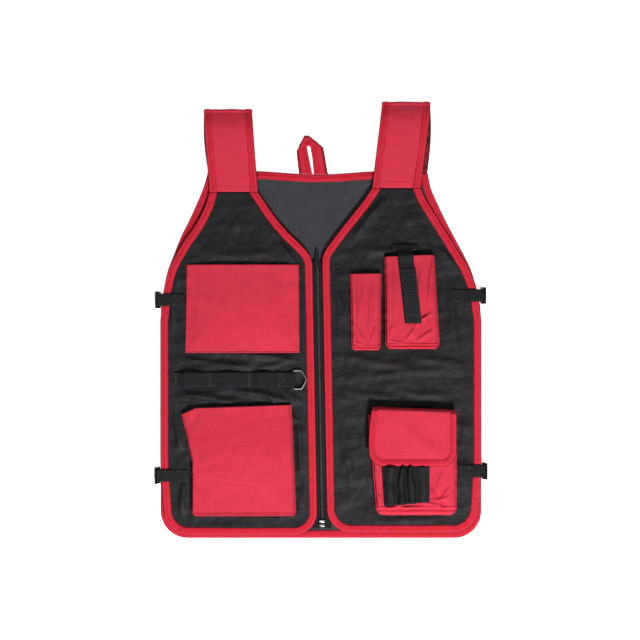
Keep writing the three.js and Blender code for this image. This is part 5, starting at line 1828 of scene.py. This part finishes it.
@dataclass
class BeltRow:
    """Webbing sewn down in loops, with a steel D ring in its end."""

    finish: Finishes
    width: float = 25.0
    left: float = -0.914
    right: float = -0.1587
    up: float = 0.3633
    back_run: float = 26.0
    tacks: tuple[float, ...] = (0.0, 0.3, 0.63, 0.9)
    arch: float = 5.5
    arches: tuple[float, ...] = (1, 0.75, 0.9)
    wire: float = 3.4
    inside: float = 26.0
    reach: float = 20.0
    shoulder: float = 13.0
    tip: float = 6.0

    def build(self) -> list[Piece]:
        """Builds the webbing, its stitches and the ring.

        Returns:
            The objects.
        """
        y = CUT.y(self.up)
        room = self.wire / 2 + 0.5
        bar_x = CUT.x(self.right) - room - CUT.web

        def base(at: float) -> float:
            """Height of the cloth without folds, with the gap to the webbing."""
            return float(frame_front(at, y)) + CUT.cloth + CUT.gap

        bar_z = base(bar_x) + CUT.web + room
        under_x = bar_x - self.back_run
        stops = []
        for i, (low, high) in enumerate(zip(self.tacks, self.tacks[1:])):
            start = mix(CUT.x(self.left), bar_x, low)
            end = min(mix(CUT.x(self.left), bar_x, high), under_x - 4)
            for t in np.linspace(0, 1, 13)[:-1]:
                x = mix(start, end, t)
                fold = float(front_top(x, y)) - base(x) + CUT.gap
                arch = self.arch * math.sin(math.pi * t) ** 2 * self.arches[i]
                stops.append([x, y, base(x) + max(0.0, fold) + arch])
        stops.append([under_x - 4, y, base(under_x - 4)])
        for x in (under_x + 2, under_x + 12):
            stops.append([x, y, base(x) + CUT.web + CUT.gap])
        for turn in range(90, -91, -15):
            a = math.radians(turn)
            stops.append([bar_x + room * math.cos(a), y, bar_z + room * math.sin(a)])
        for x in (under_x + 11, under_x + 1.5):
            stops.append([x, y, base(x) + CUT.web])
        piece, face = webbing_piece(
            "belt_row", stops, np.array([0.0, -1.0, 0.0]), self.width, self.finish,
            "front_cloth_left", "belt_webbing",
        )
        return [piece, self.stitches(face, under_x, bar_x, y), self.ring(bar_x, y, bar_z)]

    def stitches(self, face: Array, under_x: float, bar_x: float, y: float) -> Piece:
        """Bar tacks at the loops' feet and a crossed box at the ring.

        Args:
            face: The grid of the webbing's face.
            under_x: Where the end folded under stops.
            bar_x: Middle of the ring's bar.
            y: The webbing's middle.

        Returns:
            The object.
        """
        rows = Stitching(pitch=2.0, length=1.7, radius=0.34)
        line = face[: len(face) * 3 // 4, 5]
        grow = np.maximum.accumulate(line[:, 0])

        def height(at: float) -> float:
            """Height of a stitch on the webbing's face."""
            return float(np.interp(at, grow, line[:, 2])) + 0.15

        for share in self.tacks[:-1]:
            x = mix(CUT.x(self.left), bar_x, share) + (2.0 if share == 0 else 0.0)
            for shift in (-1.2, 0.4, 2.0):
                z = height(x + shift)
                rows.add(np.array([[x + shift, y - 11, z], [x + shift, y + 11, z]]), UP)
        a, b = under_x + 3, bar_x - 8
        z = height(a + 2) + 0.1
        box = [[a, y - 10, z], [b, y - 10, z], [b, y + 10, z], [a, y + 10, z], [a, y - 10, z], [b, y + 10, z]]
        rows.add(np.array(box), UP)
        rows.add(np.array([[a, y + 10, z], [b, y - 10, z]]), UP)
        return rows.make("belt_stitches", self.finish.black_thread)

    def ring(self, x: float, y: float, z: float) -> Piece:
        """The ring: a straight bar, two short shoulders and a blunt tip, bent from round wire.

        Args:
            x: Middle of its bar across.
            y: Its middle along.
            z: Its middle height.

        Returns:
            The object.
        """
        high = (self.inside + self.wire) / 2
        corners = np.array([
            [0, -high], [self.shoulder, -high], [self.reach, -self.tip / 2], [self.reach, self.tip / 2],
            [self.shoulder, high], [0, high],
        ])
        path = []
        for before, at, after in zip(np.roll(corners, 1, axis=0), corners, np.roll(corners, -1, axis=0)):
            cut = min(3.2, 0.45 * np.linalg.norm(at - before), 0.45 * np.linalg.norm(after - at))
            a, b = at + unit(before - at) * cut, at + unit(after - at) * cut
            t = np.linspace(0, 1, 9)[:, None]
            path.append((1 - t) ** 2 * a + 2 * t * (1 - t) * at + t**2 * b)
        flat = evenly(np.vstack([*path, path[0][:1]]), 1.0)[:-1]
        line = np.column_stack([flat[:, 0] + x, flat[:, 1] + y, np.full(len(flat), z)])
        piece = wire("steel_ring", line, self.wire / 2, self.finish.steel)
        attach(piece, "ring")
        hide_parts("d_ring")
        return piece


def over(face: Array) -> Surface:
    """Reads the height of a surface.

    Args:
        face: The surface's grid.

    Returns:
        A function that gives the height at places of the plan, from the four nearest points of the grid.
    """
    points = face.reshape(-1, 3)

    def height(x: Array, y: Array) -> Array:
        """The height at each place.

        Args:
            x: Places across.
            y: Places along.

        Returns:
            The height at each place.
        """
        x, y = np.broadcast_arrays(np.asarray(x, float), np.asarray(y, float))
        far = np.hypot(points[None, :, 0] - x.reshape(-1, 1), points[None, :, 1] - y.reshape(-1, 1)) + 0.05
        near = np.argpartition(far, 4, axis=1)[:, :4]
        weight = 1 / np.take_along_axis(far, near, axis=1) ** 2
        return ((points[near, 2] * weight).sum(axis=1) / weight.sum(axis=1)).reshape(x.shape)

    return height


@dataclass
class PhoneClosure:
    """The webbing strap over the phone pocket, its anchor, and the hook-and-loop patch on its end."""

    finish: Finishes
    width: float = 25.0
    top_x: float = 0.517
    foot_x: float = 0.567
    anchor_up: float = 0.6655
    foot_up: float = 0.492
    anchor_width: float = 42.0
    anchor_length: float = 10.0
    patch_top: float = 83.0  # the patch covers the strap below this height on the plan

    def build(self, pocket: Array) -> list[Piece]:
        """Builds the closure.

        Args:
            pocket: The grid of the phone pocket's face.

        Returns:
            The pieces.
        """
        anchor_y, foot_y = CUT.y(self.anchor_up), CUT.y(self.foot_up)
        mouth = float(pocket[-1, :, 1].mean())
        face = over(pocket)

        def x_at(at: float) -> float:
            """The strap's middle at a height of the plan."""
            return float(mix(CUT.x(self.top_x), CUT.x(self.foot_x), (anchor_y - at) / (anchor_y - foot_y)))

        def ground(at: float, lift: float) -> list[float]:
            """A stop above the front cloth."""
            return [x_at(at), at, float(front_top(x_at(at), at)) + lift]

        high = max(float(face(x_at(mouth - 6) + shift, mouth - 6)) for shift in (-11, -5, 0, 5, 11))
        lip = high - float(front_top(x_at(mouth), mouth))
        stops = [
            ground(anchor_y + self.anchor_length / 2, CUT.web + 0.5),
            ground(anchor_y - self.anchor_length * 0.2, CUT.web + 0.8),
            ground(mouth + 5.0, lip * 0.45),
            ground(mouth + 2.6, lip * 0.85),
            ground(mouth - 1.0, lip + 1.6),
        ]
        for y in np.linspace(mouth - 9, foot_y, 9):
            z = max(float(face(x_at(y) + shift, y)) for shift in (-11, -6, 0, 6, 11))
            stops.append([x_at(y), y, z + 0.5])
        strap, grid = webbing_piece(
            "phone_strap_web", stops, np.array([-1.0, 0.0, 0.0]), self.width, self.finish,
            "phone_pocket_cloth", "phone_strap",
        )
        x = CUT.x(self.top_x) + np.linspace(-0.5, 0.5, 22) * self.anchor_width
        y = anchor_y + np.linspace(0.5, -0.5, 8)[:, None] * self.anchor_length
        x, y = np.broadcast_arrays(x[None, ::-1], y)
        flat = np.stack([x, y, front_top(x, y) + CUT.web + 1.2], axis=-1)
        anchor = cloth_piece("phone_strap_anchor_web", flat, CUT.web * 0.9, self.finish.web)
        settle(anchor, flat, Hold.LAID, ["front_cloth_right"], "phone_strap_anchor")
        low = grid[grid[:, 5, 1] < self.patch_top]
        side = np.array([1.4, 0.0, 0.0])
        patch_face = low + grid_normals(low) * 1.5 + side
        patch = cloth_piece("phone_strap_patch", patch_face, 1.2, self.finish.hook)
        settle(patch, patch_face, Hold.LAID, ["phone_strap_web"])
        rows = Stitching(pitch=2.2, length=1.8, radius=0.3)
        for from_end in (2, 7, 9):
            line = patch_face[-1 - from_end, 1:-1] + UP * 0.15
            rows.add(line, UP)
        for column in (1, -2):
            rows.add(patch_face[1:-1, column] + UP * 0.1, UP)
        rows.add(patch_face[1, 1:-1] + UP * 0.1, UP)
        rows.add(flat[4, 1:8] + UP * 0.1, UP)
        rows.add(flat[4, -8:-1] + UP * 0.1, UP)
        return [strap, anchor, patch, rows.make("phone_strap_stitches", self.finish.black_thread)]


@dataclass
class Zip:
    """A coil zip: two tapes, rows of coil turns, a slider with its pull, and a retainer box."""

    finish: Finishes
    tape_width: float = 13.0
    core: float = 1.6
    below: float = 4.5
    above: float = 3.0
    slider_up: float = 0.6265
    slider_length: float = 12.0
    retainer_up: float = 0.0335
    retainer_length: float = 14.0
    pitch: float = 1.7  # turns of the coil are 1.3 mm apart on the real one; drawn a little coarser
    turn_length: float = 3.9
    turn_radius: float = 0.62
    stop_length: float = 8.0
    stop_radius: float = 0.85

    def top(self, y: Array) -> Array:
        """Height of the tapes' upper face."""
        return frame_front(zip_x(y), y) - CUT.inset - CUT.gap

    def tape(self, side: Side) -> Piece:
        """Builds one tape.

        Args:
            side: Which one.

        Returns:
            The object.
        """
        sign = side.value
        low = CUT.hem_y + CUT.tape_width + self.below
        y = np.arange(low, CUT.y(self.slider_up) + self.slider_length / 2 + self.above, 4.0)
        inner = zip_x(y) + sign * self.core
        outer = inner + sign * self.tape_width
        start, end = (outer, inner) if side is Side.LEFT else (inner, outer)
        x = mix(start[:, None], end[:, None], np.linspace(0, 1, 7)[None])
        face = np.stack([x, y[:, None] + 0 * x, self.top(y)[:, None] + 0 * x], axis=-1)
        name = side.name.lower()
        piece = cloth_piece(f"zip_tape_cloth_{name}", face, 0.9, self.finish.zip_tape)
        settle(piece, face, Hold.LAID, [f"front_edge_{name}"], f"zip_tape_{name}")
        return piece

    @staticmethod
    def rounded(length: float, radius: float) -> list[tuple[float, float, float]]:
        """A rod's rings: a straight middle and rounded ends.

        Args:
            length: Its length.
            radius: Its radius.

        Returns:
            For each ring of points: how far along it is, its radius and its lift.
        """
        ends = ((-0.5, 0.3), (-0.4, 0.85), (-0.2, 1.0), (0.2, 1.0), (0.4, 0.85), (0.5, 0.3))
        return [(along * length, thick * radius, 0.0) for along, thick in ends]

    def coil(self) -> Piece:
        """Builds the coil's turns, which reach in from both sides by turns.

        Returns:
            The object.
        """
        low = CUT.y(self.retainer_up) + self.retainer_length / 2 + 0.8
        high = CUT.y(self.slider_up) - self.slider_length * 0.1
        y = np.arange(low, high, self.pitch / 2)
        side = np.where(np.arange(len(y)) % 2 == 0, -1.0, 1.0)
        middle = np.column_stack([zip_x(y) + side * 0.75, y, self.top(y) + 0.4 + 0.75])
        ahead = unit(np.column_stack([np.ones(len(y)), 0.16 * side, np.zeros(len(y))]))
        up = np.tile(UP, (len(y), 1))
        shape = self.rounded(self.turn_length, self.turn_radius)
        piece = rods("zip_coil_turns", middle, ahead, up, shape, 8, self.finish.coil)
        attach(piece, "vest")
        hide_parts("zip_chain")
        return piece

    def build(self) -> list[Piece]:
        """Builds the zip, and dresses the slider, the pull and the retainer.

        Returns:
            The objects.
        """
        rows = Stitching(pitch=2.4, length=1.9, radius=0.26)
        y = np.arange(CUT.y(self.retainer_up) + 9, CUT.y(self.slider_up) - 8, 3.0)
        for shift in (-4.2, 4.2):
            rows.add(np.column_stack([zip_x(y) + shift, y, self.top(y)]), UP)
        for node, edge in (("zip_slider", 0.35), ("zip_pull", 0.25), ("zip_retainer", 0.4)):
            dress_node(node, self.finish.plastic, edge)
        at_y = CUT.y(self.retainer_up)
        high = float(self.top(at_y)) + CUT.gap + 4.2
        middle = np.array([[float(zip_x(at_y)), at_y + shift, high] for shift in (-3.6, 2.6)])
        sideways, up = np.tile([1.0, 0.0, 0.0], (2, 1)), np.tile(UP, (2, 1))
        shape = self.rounded(self.stop_length, self.stop_radius)
        stops = rods("zip_stop_bars", middle, sideways, up, shape, 8, self.finish.bright)
        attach(stops, "vest")
        made = [self.tape(Side.LEFT), self.tape(Side.RIGHT), self.coil(), stops]
        return [*made, rows.make("zip_stitches", self.finish.black_thread)]


def dress_node(node: str, material: Material, edge: float) -> None:
    """Gives a solid of the frame its finish and softened edges.

    Args:
        node: The solid's name.
        material: Its material.
        edge: Radius of its edges.
    """
    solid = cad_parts[node]
    solid.data.materials.clear()
    solid.data.materials.append(material)
    weld = solid.modifiers.new("weld", "WELD")
    weld.merge_threshold = 0.00001
    bevel = solid.modifiers.new("edges", "BEVEL")
    bevel.width, bevel.segments, bevel.limit_method = edge * MM, 3, "ANGLE"
    bevel.angle_limit = math.radians(32)
    bevel.harden_normals = True
    for polygon in solid.data.polygons:
        polygon.use_smooth = True


@dataclass(frozen=True)
class SideStrap:
    """One side strap: its side, its height, and how far it reaches in over the front and the back."""

    name: str
    side: Side
    up: float
    front_in: float
    back_in: float = 34.0


SIDE_STRAPS = (
    SideStrap("upper_left", Side.LEFT, 0.546, 33.0),
    SideStrap("upper_right", Side.RIGHT, 0.556, 40.0),
    SideStrap("lower_left", Side.LEFT, 0.1445, 43.0),
    SideStrap("lower_right", Side.RIGHT, 0.1545, 33.0),
)


@dataclass
class SideStraps:
    """Four straps of webbing through three-bar buckles that stand beside the vest."""

    finish: Finishes
    width: float = 20.0
    length: float = 27.0
    buckle_width: float = 19.0
    thickness: float = 3.0
    bar: float = 3.0
    tilt: float = 72.0
    ease: float = 0.5

    def seat(self, row: SideStrap) -> tuple[Array, Array, Array]:
        """Where a buckle stands.

        Args:
            row: The strap.

        Returns:
            Its middle, the way up its slope and the way out of its face.
        """
        sign, tilt = row.side.value, math.radians(self.tilt)
        slope = np.array([sign * math.cos(tilt), 0.0, math.sin(tilt)])
        out = np.array([sign * math.sin(tilt), 0.0, -math.cos(tilt)])
        lowest = self.buckle_width / 2 * math.sin(tilt) + self.thickness / 2 * math.cos(tilt)
        deep = self.buckle_width / 2 * math.cos(tilt) + self.thickness / 2 * math.sin(tilt)
        y = CUT.y(row.up)
        edge = max(abs(float(back_edge(row.side, np.array(y + t * self.length)))) for t in (-0.5, 0.0, 0.5))
        return np.array([sign * (edge + CUT.inset + CUT.gap + deep), y, lowest]), slope, out

    def front(self, row: SideStrap) -> list[Piece]:
        """Builds the webbing from its seam on the front to the buckle, with its crossed box of stitches.

        Args:
            row: The strap.

        Returns:
            The webbing and its stitches.
        """
        sign = row.side.value
        middle, slope, out = self.seat(row)
        y = middle[1]
        edge = float(outer_edge(row.side, np.array(y)))

        def on(x: float, lift: float) -> list[float]:
            """A stop on the front's cloth."""
            return [x, y, float(front_top(x, y)) + lift]

        def near(rise: float, away: float) -> list[float]:
            """A stop in the buckle's own frame."""
            return list(middle + slope * rise + out * away)

        room = self.thickness / 2 + self.ease
        slot = (self.bar / 2 + self.buckle_width / 2 - self.bar) / 2
        stops = [
            on(edge - sign * row.front_in, 0.1), on(edge - sign * (row.front_in - 8), 0.2),
            on(edge - sign * (CUT.tape_width + 7), 0.3), on(edge - sign * (CUT.tape_width + 1), 2.2),
            on(edge - sign * 5, 2.5), on(edge - sign * 0.5, 2.3),
            near(slot + 0.6, -room - 0.4), near(slot, 0), near(slot - 1.2, room), near(0, room + 0.3),
            near(-slot + 2.2, room), near(-slot + 0.9, 0), near(-slot + 0.9, -room - 1.5),
        ]
        across = np.array([0.0, -float(sign), 0.0])
        piece, face = webbing_piece(
            f"side_strap_front_{row.name}", stops, across, self.width, self.finish,
            f"front_cloth_{row.side.name.lower()}", f"side_web_front_{row.name}",
        )
        rows = Stitching(pitch=2.2, length=1.8, radius=0.3)
        span = np.linalg.norm(face[:, 5] - face[0, 5], axis=1)
        low, high = 1, int(np.searchsorted(span, 16))
        a, b, c, d = face[low, 1], face[low, -2], face[high, -2], face[high, 1]
        for start, end in ((a, b), (b, c), (c, d), (d, a), (a, c), (b, d)):
            rows.add(np.array([start, end]) + UP * 0.2, UP)
        return [piece, rows.make(f"side_strap_stitches_{row.name}", self.finish.black_thread)]

    def back(self, row: SideStrap) -> Piece:
        """Builds the webbing from its seam on the back round the buckle's lower bar.

        Args:
            row: The strap.

        Returns:
            The object.
        """
        sign = row.side.value
        middle, slope, out = self.seat(row)
        y = middle[1]
        edge = float(back_edge(row.side, np.array(y)))

        def on(x: float, lift: float) -> list[float]:
            """A stop on the back's cloth."""
            sunk = 1 - float(smooth((abs(x - edge) - 14) / 14))
            return [x, y, CUT.inset * sunk + CUT.cloth + CUT.gap + lift]

        lower = middle - slope * (self.buckle_width - self.bar) / 2
        room = self.thickness / 2 + self.ease

        def near(rise: float, away: float) -> list[float]:
            """A stop in the frame of the buckle's lower bar."""
            return list(lower + slope * rise + out * away)

        stops = [
            on(edge - sign * row.back_in, 0.9), on(edge - sign * 28, 0.9),
            on(edge - sign * (CUT.tape_width + 2.5), 1.6), on(edge - sign * 5, 1.9), on(edge, 1.8),
            near(room - 0.2, -room), near(room, room * 0.5),
        ]
        piece, _ = webbing_piece(
            f"side_strap_back_{row.name}", stops, np.array([0.0, -float(sign), 0.0]), self.width, self.finish,
            "back_cloth", f"side_web_back_{row.name}",
        )
        return piece

    def build(self) -> list[Piece]:
        """Builds the straps and dresses the buckles.

        Returns:
            The objects.
        """
        made = []
        for row in SIDE_STRAPS:
            made += [*self.front(row), self.back(row)]
            dress_node(f"side_buckle_{row.name}", self.finish.plastic, 0.7)
        return made


@dataclass
class HangLoop:
    """The hanging loop: red tape that runs up, folds to a point and comes down beside itself."""

    finish: Finishes
    thickness: float = 2.0
    # Outer and inner edge of the tape, from the left foot round the point to the right foot
    outer: tuple[tuple[float, float], ...] = (
        (-35.0, 0.0), (-37.0, 15.4), (-39.0, 35.6), (-26.6, 60.6), (-20.0, 60.6), (3.6, 41.5), (7.4, 21.0),
        (11.0, 0.0),
    )
    inner: tuple[tuple[float, float], ...] = (
        (-14.0, 0.0), (-18.2, 20.0), (-22.8, 42.4), (-21.4, 43.8), (-18.6, 43.8), (-16.6, 42.0),
        (-13.2, 20.0), (-11.2, 0.0),
    )

    def build(self) -> list[Piece]:
        """Builds the loop and the stitches across its feet.

        Returns:
            The objects.
        """
        foot = max(float(neck_y(np.array(x))) for x in (-38.0, -12.85, 12.0)) + CUT.inset + CUT.gap
        steps = (10, 10, 10, 4, 10, 10, 10)
        lines = []
        for edge in (self.outer, self.inner):
            points = np.array(edge)
            line = [points[:1]]
            for a, b, n in zip(points, points[1:], steps):
                line.append(mix(a[None], b[None], np.linspace(0, 1, n + 1)[1:, None]))
            lines.append(np.vstack(line))
        t = np.linspace(0, 1, 13)
        plan = mix(lines[0][:, None], lines[1][:, None], t[None, :, None])
        gone = np.linspace(0, 1, len(plan))[:, None]
        point = np.exp(-(((gone - 0.5) / 0.13) ** 2))
        z = self.thickness + 0.9 * np.sin(math.pi * t)[None] * (1 - point) + 1.4 * point
        # Two slanting creases, where the tape folds over
        for place, lean in ((0.36, 0.1), (0.63, -0.1)):
            z = z + 0.9 * np.exp(-(((gone - place - lean * t[None]) / 0.018) ** 2))
        z = z + 0.12 * unevenness(plan[..., 0], plan[..., 1], 9, 66)
        hug = neck_y(plan[..., 0]) + CUT.inset + 0.12
        at = plan[..., 1] + mix(hug, foot, smooth(plan[..., 1] / 26))
        face = np.stack([plan[..., 0], at, z], axis=-1).transpose(1, 0, 2)
        piece = cloth_piece("hang_loop_tape", face, 1.7, self.finish.loop_tape)
        settle(piece, face, Hold.FOLDED, ["floor"], "hang_loop")
        rows = Stitching(pitch=2.4, length=1.9)
        for column in (2, 4, -3, -5):
            rows.add(face[1:-1, column] + UP * 0.1, UP)
        return [piece, rows.make("hang_loop_stitches", self.finish.red_thread)]


@dataclass
class Studio:
    """The camera straight above, a floor of white paper on a light table, and soft light."""

    view_width: float = 1024.0
    height: float = 3000.0
    centre: tuple[float, float] = (-1.6, 0.0)
    film: float = 36.0
    span: float = 6000.0
    floor_z: float = -0.45  # just below the lowest tape

    def camera(self) -> None:
        """Makes the camera."""
        data = bpy.data.cameras.new("camera")
        data.sensor_width = self.film
        data.lens = self.film * self.height / self.view_width
        piece = bpy.data.objects.new("camera", data)
        piece.location = (self.centre[0] * MM, self.centre[1] * MM, (self.height + 8) * MM)
        bpy.context.scene.collection.objects.link(piece)
        bpy.context.scene.camera = piece

    def floor(self) -> None:
        """Makes the floor: white paper that glows a little, as on a light table."""
        made, tree = blank("white_paper_floor")
        place = put(tree, "ShaderNodeTexCoord").outputs["Object"]
        pulp = put(tree, "ShaderNodeTexNoise", {"Vector": place, "Scale": 6.0, "Detail": 3.0})
        colour = put(tree, "ShaderNodeMix", {
            0: pulp, 6: linear("#fbfbfb"), 7: linear("#f5f5f5"),
        }, data_type="RGBA")
        shader = put(tree, "ShaderNodeBsdfPrincipled", {
            "Base Color": colour.outputs[2], "Roughness": 0.9, "Specular IOR Level": 0.1,
            "Emission Color": (1.0, 1.0, 1.0, 1.0), "Emission Strength": 0.7,
        })
        put(tree, "ShaderNodeOutputMaterial", {"Surface": shader})
        corners = ((-1, -1), (1, -1), (1, 1), (-1, 1))
        points = np.array([[x * self.span, y * self.span, self.floor_z] for x, y in corners])
        mesh_object("floor", points, np.array([[0, 1, 2, 3]]), None, made)

    def lights(self) -> None:
        """Makes a soft key from the hem's side, a fill, and an even surround."""
        scene = bpy.context.scene
        scene.view_settings.view_transform = "Standard"
        scene.world = bpy.data.worlds.new("surround")
        scene.world.use_nodes = True
        back = scene.world.node_tree.nodes["Background"]
        back.inputs["Color"].default_value = (1.0, 1.0, 1.0, 1.0)
        back.inputs["Strength"].default_value = 0.3
        for name, place, size, power in (
            ("key", (0.6, -1.75, 2.15), 0.5, 124.0),
            ("fill", (-1.7, 0.2, 2.0), 1.6, 11.0),
        ):
            data = bpy.data.lights.new(name, "AREA")
            data.size, data.energy = size, power
            lamp = bpy.data.objects.new(name, data)
            lamp.location = place
            way = np.array(place)
            lamp.rotation_euler = (math.acos(way[2] / np.linalg.norm(way)), 0.0, math.atan2(way[0], -way[1]))
            scene.collection.objects.link(lamp)

    def build(self) -> None:
        """Builds the studio."""
        self.camera()
        self.floor()
        self.lights()


def main() -> None:
    """Builds every sub-assembly in order."""
    Studio().build()
    finish = Finishes()
    steps: list[tuple[str, Callable[[], list]]] = [
        ("panels", Panels(finish).build),
        ("shoulder straps", ShoulderStraps(finish).build),
        ("pockets", Pockets(finish).build),
        ("belt", BeltRow(finish).build),
        ("zip", Zip(finish).build),
        ("side straps", SideStraps(finish).build),
        ("hanging loop", HangLoop(finish).build),
    ]
    for name, build in steps:
        for piece in build():
            log.info("%s: %s has %d faces", name, piece.name, len(piece.data.polygons))
    stitches = Stitching()
    tape = Binding(finish)
    for piece in [*tape.on_back(stitches), *(tape.on_front(side, stitches) for side in Side)]:
        log.info("binding: %s has %d faces", piece.name, len(piece.data.polygons))
    stitches.make("edge_stitches", finish.red_thread)


if __name__ == "__main__":
    logging.basicConfig(level=logging.INFO, format="%(name)s %(message)s")
    main()
